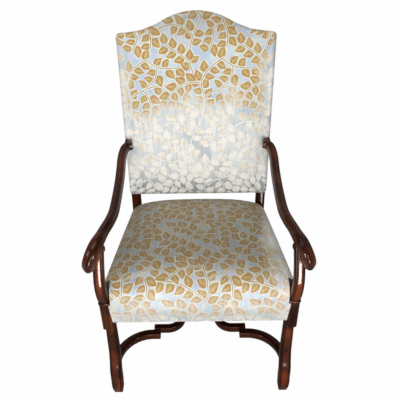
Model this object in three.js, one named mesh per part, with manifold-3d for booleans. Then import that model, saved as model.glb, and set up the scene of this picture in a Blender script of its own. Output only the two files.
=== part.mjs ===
// Tall-backed upholstered armchair with carved scroll legs, arms and stretcher
// Millimetres: X runs across, Y from front to back, Z up from the floor; left is the sitter's left
import * as THREE from "three";
import { mergeVertices } from "three/addons/utils/BufferGeometryUtils.js";
import Module from "manifold-3d";

const wasm = await Module();
wasm.setup();

// Driving dimensions: Y zero is the front face of the front posts
const frontHalfSpan = 295.5;
const rearHalfSpan = 242;
const seatDepth = 486;
const seatUnderside = 356;
const seatEdgeHeight = 130;
const seatCrown = 48;
const seatRearSag = 25;
const armAboveRails = 329;
const armRise = 53;
const backRake = 12.2;
const backAboveRails = 104;
const backSetback = 7;
const panelFoot = 68;
const panelHeight = 589;
const panelFlare = 14;
const humpHeight = 69;
const humpRadius = 238;

// Fits and edges shared by every piece
const fitGap = 0.3;
const clothGap = 0.5;
const cutOverrun = 40;
const edgeEase = 1.6;
const sectionSides = 12;
const roundSides = 8;

// Steps along each kind of member, and how square its section is: 2 is an ellipse
const legSteps = 14;
const armSteps = 30;
const armCrowding = 0.55;
const supportSteps = 12;
const scrollSteps = 14;
const bracketSteps = 20;
const postSquareness = 5;
const legSquareness = 3.2;
const armSquareness = 2.8;
const supportSquareness = 3;
const stretcherSquareness = 4;
const sideSteps = 5;
const backSideSteps = 4;
const humpSteps = 4;

// Front leg: a post at seat level and a lower leg set back behind it
const postWidth = 34;
const postDepth = 50;
const postToeWidth = 31;
const postToeDepth = 46;
const postAboveRails = 95;
const collarHeight = 5;
const collarProud = 1.9;
const legWidth = 40.5;
const legDepth = 38;
const legBelowRails = 11;
const legBackset = 48;
const scrollOverlap = 11;
const footWidth = 31;
const footLength = 40;
const footFront = 3;
const footHeight = 11;
const footCorner = 5;
const glideHeight = 3;
const glideInset = 3;

// Rear leg and upright, one timber
const uprightWidth = 34;
const uprightDepth = 34;
const rearLegSweep = 64;
const rearLegFlare = 6;

// Arms and arm supports
const armWidth = 29;
const armDepth = 31;
const armRearSetback = 5;
const armWaistOutset = 16;
const armScrollReach = 30;
const armFrontInset = 7.5;
const crookWidth = 35;
const crookDepth = 35;
const crookDrop = 82;
const crookReach = 30;
const crookOutset = 30;
const supportWidth = 34.5;
const supportDepth = 34;
const supportLean = 30;
const supportSway = 8;
const armBlockWidth = 21;
const armBlockHeight = 26;
const armBlockOutset = 14;
const armBlockDrop = 3;
const armBlockSetback = 11;

// Seat frame
const railThickness = 22;
const railHeight = 66.7;
const frontRailSetback = 12;
const rearRailSetback = 1;
const sideRailInsetFront = 10;
const sideRailOutsetRear = 2.3;
const tenonThickness = 10;
const tenonLength = 12;
const tenonShoulder = 9;
const cornerBlockLeg = 54;
const cornerBlockHeight = 44;
const cornerBlockDrop = 8;

// Stretcher, level between the legs
const stretcherHeight = 120;
const scrollWidth = 29;
const scrollDepth = 30;
const scrollRadius = 121;
const rearScrollRadius = 70;
const scrollEndInset = 147.5;
const scrollJointY = 180;
const bracketWidth = 26;
const bracketRadius = 54;
const bracketSpineX = 68;
const bracketEndInset = 123.5;
const stretcherMiddleY = 285;
const crossBarWidth = 30;
const spigotDiameter = 14;
const spigotLength = 9;

// Dowels and screws
const dowelDiameter = 8;
const dowelLength = 34;
const screwDiameter = 5;
const screwHeadDiameter = 10;
const screwHeadHeight = 3;
const screwHeadSink = 3;
const cornerScrewLength = 44;
const cornerScrewSetback = 22;

// Upholstery
const coverThickness = 2;
const coverHem = 16;
const seatBulge = 8;
const seatCornerRadius = 16;
const seatCrownReach = 1.017;
const backPadding = 19.6;
const backCrown = 5;
const backEdgeRadius = 15;
const backCornerRadius = 12;
const backRoundReach = 24;
const webbingWidth = 50;
const webbingThickness = 2;
const webbingTurnIn = 3;
const dustThickness = 1.2;
const dustInset = 10;
const outsideBackThickness = 1.5;
const outsideBackInset = 4;
const backRailThickness = 26;
const crestRailHeight = 66;
const footRailHeight = 50;

// Shapes as shares, hand-set for the form that each follows
const legLineShares = [[1, 1], [0.96, 0.87], [0.9, 0.61], [0.88, 0.52], [0.67, 0.406], [0.42, 0.319],
  [0.35, 0.203], [0.24, 0.105], [0.3, 0.035]];
const legSizeShares = [[0, 0.84], [0.35, 0.93], [0.6, 1], [0.9, 1.02], [1, 0.84]];
const rearLineShares = [[1, 0.03], [0.82, 0.13], [0.56, 0.335], [0.34, 0.5], [0.12, 0.7], [0.01, 0.87],
  [0, 0.95], [0, 1.07], [0, 1.15]];
const rearSizeShares = [[0, 0.84], [0.15, 0.9], [0.3, 1], [1, 1]];
const supportLineShares = [[0.75, -0.04, 0], [0.3, 0.134, 0.1], [0.1, 0.2725, 0.2], [0.1, 0.411, 0.2],
  [0.25, 0.527, 0.1], [0.45, 0.665, -0.1], [0.65, 0.79, -0.35], [0.85, 0.91, -0.55], [1, 1.03, -0.7]];
const supportFootShare = 0.6;
const supportSizeShares = [[0, 0.95], [0.12, 1.04], [0.35, 0.98], [1, 0.92]];
const armRearShares = [[-0.7, 0, 1], [-0.25, 0.002, 0.98], [0.12, 0.0256, 0.925], [0.3, 0.075, 0.81],
  [0.34, 0.154, 0.66], [0.24, 0.26, 0.47], [0.16, 0.384, 0.28], [0.09, 0.569, 0.094]];
const armFrontShares = [[0.11, 0.7], [0.3, 0.79], [0.57, 0.865], [0.86, 0.96]];
const crookLineShares = [[0.05, 0.07, 0.02], [0.3, 0.67, 0.16], [0.58, 0.93, 0.4], [0.8, 0.8, 0.67],
  [0.9, 0.5, 0.88], [0.92, 0.3, 1]];
const crookSizeShares = [[0, 0], [0.74, 0], [0.86, 1], [1, 1]];
const crookEndShares = [[0, 1], [0.965, 1], [0.983, 0.9], [0.9975, 0.55], [1, 0.45]];
const seatWallShares = [[0, 0], [-0.5, 0.2], [-1, 0.45], [-1, 0.72], [-0.6, 0.92]];
const seatCrownShares = [[0, 0], [0.035, 0.37], [0.1, 0.6], [0.2, 0.72], [0.38, 0.85], [0.62, 0.95],
  [0.84, 0.985]];
const seatSagShares = [[0, 0], [0.58, 0], [0.92, 1], [2, 1]];
const backCrownShares = [[0.3, 0.5], [0.62, 0.9]];
const seatBandShares = [0.2, 0.5, 0.8];
const backBandShares = [0.15, 0.46, 0.67, 0.88];
const acrossShares = [-0.5, 0, 0.5];

// Places that several pieces share
const rake = THREE.MathUtils.degToRad(backRake);
const legTop = seatUnderside - legBelowRails;
const postBottom = legTop - scrollOverlap;
const postTop = seatUnderside + postAboveRails;
const armLow = seatUnderside + armAboveRails;
const backBase = seatUnderside + backAboveRails;
const railBottom = seatUnderside + coverThickness + fitGap;
const railTop = railBottom + railHeight;
const uprightAxisY = seatDepth + uprightDepth / 2;
const backAxisY = uprightAxisY + backSetback;
const armRearY = uprightAxisY + armRearSetback;
const armWaistX = rearHalfSpan + armWaistOutset;
const armFrontX = frontHalfSpan - armFrontInset;
const armBlockX = rearHalfSpan + armBlockOutset;
const scrollEndX = frontHalfSpan - scrollEndInset;
const bracketEndX = frontHalfSpan - bracketEndInset;
const panelTop = panelFoot + panelHeight;
const sideFit = coverThickness + 2 * fitGap;
const frontRailY = frontRailSetback + railThickness / 2;
const rearRailY = seatDepth + rearRailSetback + railThickness / 2;
const sideRailFrontX = frontHalfSpan - sideRailInsetFront;
const sideRailRearX = rearHalfSpan + sideRailOutsetRear;
const sideRailSlope = (sideRailFrontX - sideRailRearX) / (seatDepth - postDepth);
const sideRailHalf = (railThickness / 2) * Math.hypot(1, sideRailSlope);
const webbingFoot = railTop + fitGap;
const padFoot = webbingFoot + webbingThickness + fitGap;
const sideways = new THREE.Vector3(1, 0, 0);
const backward = new THREE.Vector3(0, 1, 0);
const upward = new THREE.Vector3(0, 0, 1);
const backFrame = new THREE.Matrix4().makeRotationX(-rake).setPosition(0, backAxisY, backBase);
const intoBackFrame = backFrame.clone().invert();

// Value of a table of shares at one share, eased between its rows
function rampAt(rows, share) {
  for (let i = 1; i < rows.length; i += 1) {
    const [start, low] = rows[i - 1];
    const [end, high] = rows[i];
    if (share <= end) {
      return THREE.MathUtils.lerp(low, high, THREE.MathUtils.smoothstep(share, start, end));
    }
  }
  return rows[rows.length - 1][1];
}

// How far out a line of shares is at one share of its height
function lineShareAt(rows, high) {
  const i = rows.findIndex(([, place], k) => k > 0 && (place - high) * (rows[k - 1][1] - high) <= 0);
  return THREE.MathUtils.mapLinear(high, rows[i - 1][1], rows[i][1], rows[i - 1][0], rows[i][0]);
}

// A solid that can be joined and cut, from a three.js geometry
function solidOf(geometry) {
  const bare = geometry.clone();
  bare.deleteAttribute("normal");
  bare.deleteAttribute("uv");
  const welded = mergeVertices(bare);
  const vertProperties = Float32Array.from(welded.attributes.position.array);
  const triVerts = Uint32Array.from(welded.index.array);
  return new wasm.Manifold(new wasm.Mesh({ numProp: 3, vertProperties, triVerts }));
}

function geometryOf(solid) {
  const shape = solid.getMesh();
  const geometry = new THREE.BufferGeometry();
  geometry.setAttribute("position", new THREE.BufferAttribute(Float32Array.from(shape.vertProperties), 3));
  geometry.setIndex(Array.from(shape.triVerts));
  return geometry;
}

function cutAll(solid, tools) {
  return tools.reduce((rest, tool) => rest.subtract(tool), solid);
}

// The other side's copy of a geometry
function mirrored(geometry) {
  const other = geometry.clone().scale(-1, 1, 1);
  other.setIndex(Array.from(other.index.array).reverse());
  return other;
}

function mirroredSolid(solid) {
  return solidOf(mirrored(geometryOf(solid)));
}

// Turns the triangles over when they enclose a negative volume
function facingOut(points, index) {
  let volume = 0;
  for (let i = 0; i < index.length; i += 3) {
    const [a, b, c] = [points[index[i]], points[index[i + 1]], points[index[i + 2]]];
    volume += a.dot(new THREE.Vector3().crossVectors(b, c));
  }
  return volume < 0 ? index.reverse() : index;
}

// Rings of points, all with one count, each end closed on one point
function ringSolid(rings, firstTip, lastTip) {
  const count = rings[0].length;
  const points = [firstTip, ...rings.flat(), lastTip];
  const last = points.length - 1;
  const index = [];
  for (let j = 0; j < count; j += 1) {
    const next = (j + 1) % count;
    index.push(0, 1 + next, 1 + j);
    for (let i = 0; i + 1 < rings.length; i += 1) {
      const near = 1 + i * count;
      const far = near + count;
      index.push(near + j, near + next, far + next);
      index.push(near + j, far + next, far + j);
    }
    index.push(last, last - count + j, last - count + next);
  }
  const geometry = new THREE.BufferGeometry().setFromPoints(points);
  geometry.setIndex(facingOut(points, index));
  return solidOf(geometry);
}

function middleOf(ring) {
  const sum = ring.reduce((total, point) => total.add(point), new THREE.Vector3());
  return sum.divideScalar(ring.length);
}

function closedRings(rings) {
  return ringSolid(rings, middleOf(rings[0]), middleOf(rings[rings.length - 1]));
}

// A smooth line through hand-set places; crowding draws the steps closer at both ends
function smoothLine(places, steps, crowding = 0) {
  const curve = new THREE.CatmullRomCurve3(places, false, "centripetal");
  const line = [];
  for (let i = 0; i <= steps; i += 1) {
    const share = i / steps;
    line.push(curve.getPointAt(share - crowding * Math.sin(2 * Math.PI * share) / (2 * Math.PI)));
  }
  return line;
}

// Adds a place a little inside each end, where the rim of a flat cut is eased
function easedEnds(line) {
  const last = line.length - 1;
  const first = line[0].clone().lerp(line[1], edgeEase / line[0].distanceTo(line[1]));
  const final = line[last].clone().lerp(line[last - 1], edgeEase / line[last].distanceTo(line[last - 1]));
  return [line[0], first, ...line.slice(1, last), final, line[last]];
}

function tangentAt(places, i) {
  const before = places[Math.max(i - 1, 0)];
  const after = places[Math.min(i + 1, places.length - 1)];
  return after.clone().sub(before).normalize();
}

// Superellipse section: squareness 2 is an ellipse, higher is squarer
function sectionRing(centre, side, face, halfWidth, halfDepth, squareness) {
  const ring = [];
  for (let j = 0; j < sectionSides; j += 1) {
    const angle = (2 * Math.PI * (j + 1 / 2)) / sectionSides;
    const across = Math.sign(Math.cos(angle)) * Math.abs(Math.cos(angle)) ** (2 / squareness);
    const along = Math.sign(Math.sin(angle)) * Math.abs(Math.sin(angle)) ** (2 / squareness);
    const point = centre.clone().addScaledVector(side, across * halfWidth);
    ring.push(point.addScaledVector(face, along * halfDepth));
  }
  return ring;
}

// A carved member: a rounded square carried along a line without twist, flat cut at both ends
function carvedMember(line, sideStart, sizeAt, squareness, grow = 0) {
  const places = easedEnds(line);
  const tangents = places.map((place, i) => tangentAt(places, i));
  const steps = places.map((place, i) => (i ? place.distanceTo(places[i - 1]) : 0));
  const total = steps.reduce((sum, step) => sum + step, 0);
  const side = sideStart.clone();
  let travelled = 0;
  const rings = places.map((place, i) => {
    travelled += steps[i];
    if (i > 0) {
      side.applyQuaternion(new THREE.Quaternion().setFromUnitVectors(tangents[i - 1], tangents[i]));
    }
    const rim = i === 0 || i === places.length - 1 ? edgeEase : 0;
    const [halfWidth, halfDepth] = sizeAt(travelled / total);
    const face = new THREE.Vector3().crossVectors(tangents[i], side);
    return sectionRing(place, side, face, halfWidth + grow - rim, halfDepth + grow - rim, squareness);
  });
  return ringSolid(rings, places[0].clone(), places[places.length - 1].clone());
}

// Half sizes of a member's section along its length
function sizedBy(rows, width, depth) {
  return (share) => [width, depth].map((size) => rampAt(rows, share) * size / 2);
}

function box(centre, width, depth, height) {
  return solidOf(new THREE.BoxGeometry(width, depth, height).translate(...centre));
}

// A straight bar on edge between two places of one height
function bar(from, to, thickness, height) {
  const run = new THREE.Vector3().subVectors(to, from);
  const geometry = new THREE.BoxGeometry(run.length(), thickness, height);
  geometry.rotateZ(Math.atan2(run.y, run.x));
  return solidOf(geometry.translate(...from.clone().lerp(to, 1 / 2)));
}

// A round rod between two places
function rod(from, to, diameter) {
  const run = new THREE.Vector3().subVectors(to, from);
  const geometry = new THREE.CylinderGeometry(diameter / 2, diameter / 2, run.length(), roundSides);
  geometry.applyQuaternion(new THREE.Quaternion().setFromUnitVectors(backward, run.clone().normalize()));
  return solidOf(geometry.translate(...from.clone().lerp(to, 1 / 2)));
}

// The hole of a rod, wider and longer by the fit
function rodHole(from, to, diameter) {
  const ease = new THREE.Vector3().subVectors(to, from).setLength(fitGap);
  return rod(from.clone().sub(ease), to.clone().add(ease), diameter + 2 * fitGap);
}

// A dowel and its hole, half on each side of a joint
function dowelAt(joint, direction) {
  const reach = direction.clone().setLength(dowelLength / 2);
  const [from, to] = [joint.clone().sub(reach), joint.clone().add(reach)];
  return { solid: rod(from, to, dowelDiameter), hole: rodHole(from, to, dowelDiameter) };
}

// A screw with a round head, and the hole and counterbore that take it
function screwAt(head, tip) {
  const along = new THREE.Vector3().subVectors(tip, head).normalize();
  const neck = head.clone().addScaledVector(along, screwHeadHeight);
  const outside = head.clone().addScaledVector(along, -cutOverrun);
  const solid = rod(head, neck, screwHeadDiameter).add(rod(head, tip, screwDiameter));
  const bore = rodHole(outside, neck, screwHeadDiameter);
  return { solid, hole: rodHole(head, tip, screwDiameter).add(bore) };
}

function extruded(shape, thickness) {
  return new THREE.ExtrudeGeometry(shape, { depth: thickness, bevelEnabled: false });
}

function corneredRectangle(halfWidth, halfDepth, corner) {
  const shape = new THREE.Shape();
  shape.moveTo(halfWidth, corner - halfDepth);
  shape.lineTo(halfWidth, halfDepth - corner);
  shape.lineTo(halfWidth - corner, halfDepth);
  shape.lineTo(corner - halfWidth, halfDepth);
  shape.lineTo(-halfWidth, halfDepth - corner);
  shape.lineTo(-halfWidth, corner - halfDepth);
  shape.lineTo(corner - halfWidth, -halfDepth);
  shape.lineTo(halfWidth - corner, -halfDepth);
  return shape;
}

// Front leg: lower leg, foot and post in one timber
function frontPostForm(grow) {
  const collarFoot = postTop - collarHeight;
  const waist = (postBottom + collarFoot) / 2;
  const rows = [
    [postBottom - grow, postToeWidth, postToeDepth],
    [postBottom + edgeEase, postToeWidth + 2 * edgeEase, postToeDepth + 2 * edgeEase],
    [waist, postWidth, postDepth],
    [collarFoot - collarProud, postWidth, postDepth],
    [collarFoot, postWidth + 2 * collarProud, postDepth + 2 * collarProud],
    [postTop - edgeEase, postWidth + 2 * collarProud, postDepth + 2 * collarProud],
    [postTop + grow, postWidth, postDepth],
  ];
  const rings = rows.map(([height, width, depth]) => {
    const shift = Math.max((postWidth - width) / 2, 0);
    const middle = new THREE.Vector3(frontHalfSpan - shift, postDepth / 2, height);
    return sectionRing(middle, sideways, backward, width / 2 + grow, depth / 2 + grow, postSquareness);
  });
  return closedRings(rings);
}

function frontLegForm(grow) {
  const places = legLineShares.map(([back, high]) => new THREE.Vector3(frontHalfSpan,
    back * legBackset, high * legTop));
  const sizeAt = sizedBy(legSizeShares, legWidth, legDepth);
  return carvedMember(smoothLine(places, legSteps), sideways, sizeAt, legSquareness, grow);
}

function footForm(centreX, centreY) {
  const shape = corneredRectangle(footWidth / 2, footLength / 2, footCorner);
  return solidOf(extruded(shape, footHeight).translate(centreX, centreY, glideHeight));
}

function glide(centreX, centreY) {
  const halfLength = footLength / 2 - glideInset;
  const shape = corneredRectangle(footWidth / 2 - glideInset, halfLength, footCorner);
  return solidOf(extruded(shape, glideHeight - fitGap).translate(centreX, centreY, 0));
}

// Rear leg and upright in one timber, raked with the back above the seat
function uprightX(height) {
  return rearHalfSpan + panelFlare * height / panelHeight;
}

function backPlace(x, depth, height) {
  return new THREE.Vector3(x, depth, height).applyMatrix4(backFrame);
}

// Depth of a face of the raked upright at a height above the floor
function uprightFaceY(height, offset) {
  const along = (height - backBase + offset * Math.sin(rake)) / Math.cos(rake);
  return backAxisY + along * Math.sin(rake) + offset * Math.cos(rake);
}

function rearLegForm(grow) {
  const low = rearLineShares.map(([sweep, high]) => new THREE.Vector3(rearHalfSpan + sweep * rearLegFlare,
    uprightAxisY + sweep * rearLegSweep, high * railBottom));
  const curve = [...low, backPlace(uprightX(0), 0, 0), backPlace(uprightX(panelFoot), 0, panelFoot)];
  const top = panelTop - sideFit;
  const line = [...smoothLine(curve, legSteps), backPlace(uprightX(top), 0, top)];
  const sizeAt = sizedBy(rearSizeShares, uprightWidth, uprightDepth);
  return carvedMember(line, sideways, sizeAt, postSquareness, grow);
}

// Arm: inward scroll at the back, long waist, crook turned down over its support
function armForm(grow) {
  const rear = armRearShares.map(([out, forward, high]) => new THREE.Vector3(armWaistX + out * armScrollReach,
    (1 - forward) * armRearY, armLow + high * armRise));
  const front = armFrontShares.map(([out, forward]) => new THREE.Vector3(
    THREE.MathUtils.lerp(armWaistX, armFrontX, out), (1 - forward) * armRearY, armLow));
  const crook = crookLineShares.map(([out, forward, down]) => new THREE.Vector3(armFrontX + out * crookOutset,
    -forward * crookReach, armLow - down * crookDrop));
  const sizeAt = (share) => {
    const swell = rampAt(crookSizeShares, share);
    const rounding = rampAt(crookEndShares, share);
    const width = THREE.MathUtils.lerp(armWidth, crookWidth, swell);
    const depth = THREE.MathUtils.lerp(armDepth, crookDepth, swell);
    return [rounding * width / 2, rounding * depth / 2];
  };
  const line = smoothLine([...rear, ...front, ...crook], armSteps, armCrowding);
  return carvedMember(line, backward, sizeAt, armSquareness, grow);
}

function supportForm() {
  const rise = armLow - armDepth / 2 - postTop;
  const places = supportLineShares.map(([back, high, out]) => new THREE.Vector3(
    frontHalfSpan + out * supportSway, back * supportLean, postTop + fitGap + high * rise));
  const sizeAt = sizedBy(supportSizeShares, supportWidth, supportDepth);
  return carvedMember(smoothLine(places, supportSteps), sideways, sizeAt, supportSquareness);
}

// Block between the arm's back scroll and the upright, seen above the arm
function armBlockBox(grow) {
  const front = armRearY + armBlockSetback;
  const rear = uprightFaceY(armLow + armRise, 0);
  const centre = [armBlockX, (front + rear) / 2, armLow + armRise - armBlockDrop];
  return box(centre, armBlockWidth + 2 * grow, rear - front, armBlockHeight + 2 * grow);
}

// Stretcher members: a level line in plan, carried at the stretcher's height
function levelLine(path, steps) {
  return path.getSpacedPoints(steps).map((point) => new THREE.Vector3(point.x, point.y, stretcherHeight));
}

function stretcherMember(path, steps, width) {
  const sizeAt = () => [scrollDepth / 2, width / 2];
  return carvedMember(levelLine(path, steps), upward, sizeAt, stretcherSquareness);
}

const legBackY = lineShareAt(legLineShares, stretcherHeight / legTop) * legBackset + legDepth / 2;
const rearSweepShare = lineShareAt(rearLineShares, stretcherHeight / railBottom);
const rearStretcherX = rearHalfSpan + rearSweepShare * rearLegFlare;
const rearLegFaceY = uprightAxisY + rearSweepShare * rearLegSweep - uprightDepth / 2;
const scrollLineY = scrollJointY - scrollWidth / 2;
const bracketLineY = scrollJointY + bracketWidth / 2;

function acrossMiddle(y) {
  return 2 * stretcherMiddleY - y;
}

function frontScroll() {
  const path = new THREE.Path();
  const centreX = frontHalfSpan - scrollRadius;
  const centreY = scrollLineY - scrollRadius;
  path.moveTo(frontHalfSpan, legBackY - scrollWidth / 2);
  path.lineTo(frontHalfSpan, centreY);
  path.absarc(centreX, centreY, scrollRadius, 0, Math.PI / 2, false);
  path.lineTo(scrollEndX, scrollLineY);
  return stretcherMember(path, scrollSteps, scrollWidth);
}

function rearScroll() {
  const path = new THREE.Path();
  const centreX = rearStretcherX - rearScrollRadius;
  const centreY = acrossMiddle(scrollLineY) + rearScrollRadius;
  path.moveTo(rearStretcherX, rearLegFaceY + scrollWidth / 2);
  path.lineTo(rearStretcherX, centreY);
  path.absarc(centreX, centreY, rearScrollRadius, 0, -Math.PI / 2, true);
  path.lineTo(scrollEndX, acrossMiddle(scrollLineY));
  return stretcherMember(path, scrollSteps, scrollWidth);
}

function bracketForm() {
  const path = new THREE.Path();
  const arcX = bracketSpineX + bracketRadius;
  const arcY = bracketLineY + bracketRadius;
  path.moveTo(bracketEndX, bracketLineY);
  path.lineTo(arcX, bracketLineY);
  path.absarc(arcX, arcY, bracketRadius, -Math.PI / 2, -Math.PI, true);
  path.lineTo(bracketSpineX, acrossMiddle(arcY));
  path.absarc(arcX, acrossMiddle(arcY), bracketRadius, Math.PI, Math.PI / 2, true);
  path.lineTo(bracketEndX, acrossMiddle(bracketLineY));
  return stretcherMember(path, bracketSteps, bracketWidth);
}

function crossBar() {
  const half = bracketSpineX - bracketWidth / 2 - fitGap;
  const ends = [-half, half].map((x) => new THREE.Vector3(x, stretcherMiddleY, stretcherHeight));
  const waist = ends[0].clone().lerp(ends[1], 1 / 2);
  const sizeAt = () => [crossBarWidth / 2, scrollDepth / 2];
  const body = carvedMember([ends[0], waist, ends[1]], backward, sizeAt, stretcherSquareness);
  return body.add(spigots((from, to) => rod(from, to, spigotDiameter)));
}

// The round ends of the cross bar, or the holes that take them
function spigots(shapeOf) {
  const reach = bracketSpineX - bracketWidth / 2 + spigotLength;
  const from = new THREE.Vector3(-reach, stretcherMiddleY, stretcherHeight);
  return shapeOf(from, new THREE.Vector3(reach, stretcherMiddleY, stretcherHeight));
}

// Seat frame: rails meet the posts and uprights on flat shoulders with a tenon at each end
function tenonsOf(from, to, height) {
  const run = new THREE.Vector3().subVectors(to, from).setLength(tenonLength);
  const ease = run.clone().setLength(fitGap);
  const tenonHeight = height - 2 * tenonShoulder;
  const ends = [[from, -1], [to, 1]];
  const tenons = ends.map(([end, sign]) => bar(end.clone().addScaledVector(run, -sign),
    end.clone().addScaledVector(run, sign), tenonThickness, tenonHeight));
  const mortises = ends.map(([end, sign]) => bar(end.clone().addScaledVector(run, -sign),
    end.clone().addScaledVector(run, sign).addScaledVector(ease, sign),
    tenonThickness + 2 * fitGap, tenonHeight + 2 * fitGap));
  return { tenons, mortises };
}

function joinAll(solids) {
  return solids.reduce((total, solid) => total.add(solid));
}

function crossRail(halfLength, y, middle) {
  const from = new THREE.Vector3(-halfLength, y, middle);
  const to = new THREE.Vector3(halfLength, y, middle);
  const { tenons, mortises } = tenonsOf(from, to, railHeight);
  const body = box([0, y, middle], 2 * (halfLength - fitGap), railThickness, railHeight);
  return { rail: joinAll([body, ...tenons]), mortises };
}

function sideRailX(y) {
  return sideRailFrontX - sideRailSlope * (y - postDepth);
}

function sideRail() {
  const [frontY, rearY] = [postDepth + fitGap, seatDepth - fitGap];
  const plan = new THREE.Shape();
  plan.moveTo(sideRailX(frontY) - sideRailHalf, frontY);
  plan.lineTo(sideRailX(frontY) + sideRailHalf, frontY);
  plan.lineTo(sideRailX(rearY) + sideRailHalf, rearY);
  plan.lineTo(sideRailX(rearY) - sideRailHalf, rearY);
  const middle = railBottom + railHeight / 2;
  const from = new THREE.Vector3(sideRailX(postDepth), postDepth, middle);
  const to = new THREE.Vector3(sideRailX(seatDepth), seatDepth, middle);
  const { tenons, mortises } = tenonsOf(from, to, railHeight);
  const body = solidOf(extruded(plan, railHeight).translate(0, 0, railBottom));
  return { rail: joinAll([body, ...tenons]), mortises };
}

// Corner block in the angle of two rails; turn is 1 at the front corner and -1 at the rear one
function cornerBlock(y, turn) {
  const farY = y + turn * cornerBlockLeg;
  const cornerX = sideRailX(turn > 0 ? postDepth : y) - sideRailHalf - fitGap;
  const plan = new THREE.Shape();
  plan.moveTo(cornerX, y);
  plan.lineTo(sideRailX(farY) - sideRailHalf - fitGap, farY);
  plan.lineTo(cornerX - cornerBlockLeg, y);
  const foot = railTop - cornerBlockDrop - cornerBlockHeight;
  const block = solidOf(extruded(plan, cornerBlockHeight).translate(0, 0, foot));
  const screwY = y + turn * cornerScrewSetback;
  const headX = cornerX - cornerBlockLeg * (1 - cornerScrewSetback / cornerBlockLeg) + screwHeadSink;
  const height = foot + cornerBlockHeight / 2;
  const head = new THREE.Vector3(headX, screwY, height);
  const screw = screwAt(head, head.clone().addScaledVector(sideways, cornerScrewLength));
  return { block: block.subtract(screw.hole), screw };
}

// Webbing bands fused where they cross
function seatWebbing() {
  const middle = webbingFoot + webbingThickness / 2;
  const frontY = frontRailY - railThickness / 2 + webbingTurnIn;
  const rearY = rearRailY + railThickness / 2 - webbingTurnIn;
  const bands = acrossShares.map((share) => box([share * frontHalfSpan, (frontY + rearY) / 2, middle],
    webbingWidth, rearY - frontY, webbingThickness));
  seatBandShares.forEach((share) => {
    const y = THREE.MathUtils.lerp(postDepth, seatDepth, share);
    const half = sideRailX(y + webbingWidth / 2) + sideRailHalf - webbingTurnIn;
    bands.push(box([0, y, middle], 2 * half, webbingWidth, webbingThickness));
  });
  return joinAll(bands);
}

// Upholstered forms: a profile of inset and height carried round an outline of given inset
function offsetProfile(profile, distance) {
  return profile.map(([inset, height], i) => {
    const [before, after] = [profile[Math.max(i - 1, 0)], profile[Math.min(i + 1, profile.length - 1)]];
    const into = segmentNormal(before, [inset, height]) ?? segmentNormal([inset, height], after);
    const out = segmentNormal([inset, height], after) ?? into;
    const mean = into.clone().add(out).normalize();
    return [inset + mean.x * distance / mean.dot(into), height + mean.y * distance / mean.dot(into)];
  });
}

function segmentNormal(from, to) {
  const run = new THREE.Vector2(to[0] - from[0], to[1] - from[1]);
  return run.length() > 0 ? new THREE.Vector2(run.y, -run.x).normalize() : null;
}

// A cover: the outer skin, and the same skin set in by the cloth, joined at the hem
function coverShell(profile, ringAt, tipAt, crownTop) {
  const inner = offsetProfile(profile, coverThickness);
  const outerRings = profile.map(([inset, height]) => ringAt(inset, height)).reverse();
  const innerRings = inner.map(([inset, height]) => ringAt(inset, height));
  return ringSolid([...outerRings, ...innerRings], tipAt(crownTop), tipAt(crownTop - coverThickness));
}

// A pad that fills a cover down to a flat foot
function padForm(profile, ringAt, tipAt, crownTop, foot) {
  const set = coverThickness + fitGap;
  const walls = offsetProfile(profile, set).filter(([, height]) => height > foot);
  const rings = [ringAt(walls[0][0], foot), ...walls.map(([inset, height]) => ringAt(inset, height))];
  return ringSolid(rings, middleOf(rings[0]), tipAt(crownTop - set));
}

// A corner eased by a curve from one edge to the next
function easedCorner(from, corner, to, radius) {
  const start = corner.clone().lerp(from, radius / corner.distanceTo(from));
  const end = corner.clone().lerp(to, radius / corner.distanceTo(to));
  return new THREE.QuadraticBezierCurve3(start, corner, end).getPoints(2);
}

function evenPoints(from, to, count) {
  return Array.from({ length: count }, (_, i) => from.clone().lerp(to, (i + 1) / (count + 1)));
}

const seatFrontY = frontRailSetback - fitGap - coverThickness;
const seatRearY = rearRailY + railThickness / 2 + fitGap + coverThickness;
const seatMiddleY = (seatFrontY + seatRearY) / 2;
const seatCrownWidth = seatCrownReach * (seatRearY - seatFrontY) / 2;

function seatRing(inset, height) {
  const [frontY, rearY] = [seatFrontY + inset, seatRearY - inset];
  const corner = (sign, y) => new THREE.Vector3(sign * (seatEdgeX(y) - inset), y, height);
  const corners = [corner(1, frontY), corner(1, rearY), corner(-1, rearY), corner(-1, frontY)];
  const ring = corners.flatMap((place, i) => {
    const [before, after] = [corners[(i + 3) % 4], corners[(i + 1) % 4]];
    return [...easedCorner(before, place, after, seatCornerRadius), ...evenPoints(place, after, sideSteps)];
  });
  ring.forEach((point) => {
    point.z -= seatSagAt(point.x, point.y, height);
  });
  return ring;
}

function seatEdgeX(y) {
  return sideRailX(y) + sideRailHalf + fitGap + coverThickness;
}

// The upper edge falls towards the rear corners
function seatSagAt(x, y, height) {
  const across = Math.min(Math.abs(x) / seatEdgeX(y), 1);
  const along = Math.max((y - seatFrontY) / (seatRearY - seatFrontY), 0);
  const raised = rampAt(seatSagShares, (height - seatUnderside) / seatEdgeHeight);
  return seatRearSag * raised * across ** 4 * along ** 1.5;
}

function seatTip(height) {
  return new THREE.Vector3(0, seatMiddleY, height);
}

function seatProfile() {
  const edge = seatUnderside + seatEdgeHeight;
  const wall = seatWallShares.map(([inset, high]) => [
    inset * seatBulge, seatUnderside + high * seatEdgeHeight]);
  const crown = seatCrownShares.map(([inset, high]) => [inset * seatCrownWidth, edge + high * seatCrown]);
  return [[coverHem, seatUnderside], ...wall, ...crown];
}

const seatTop = seatUnderside + seatEdgeHeight + seatCrown;

function dustCover() {
  const top = seatUnderside - fitGap;
  return closedRings([top - dustThickness, top].map((height) => seatRing(dustInset, height)));
}

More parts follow.
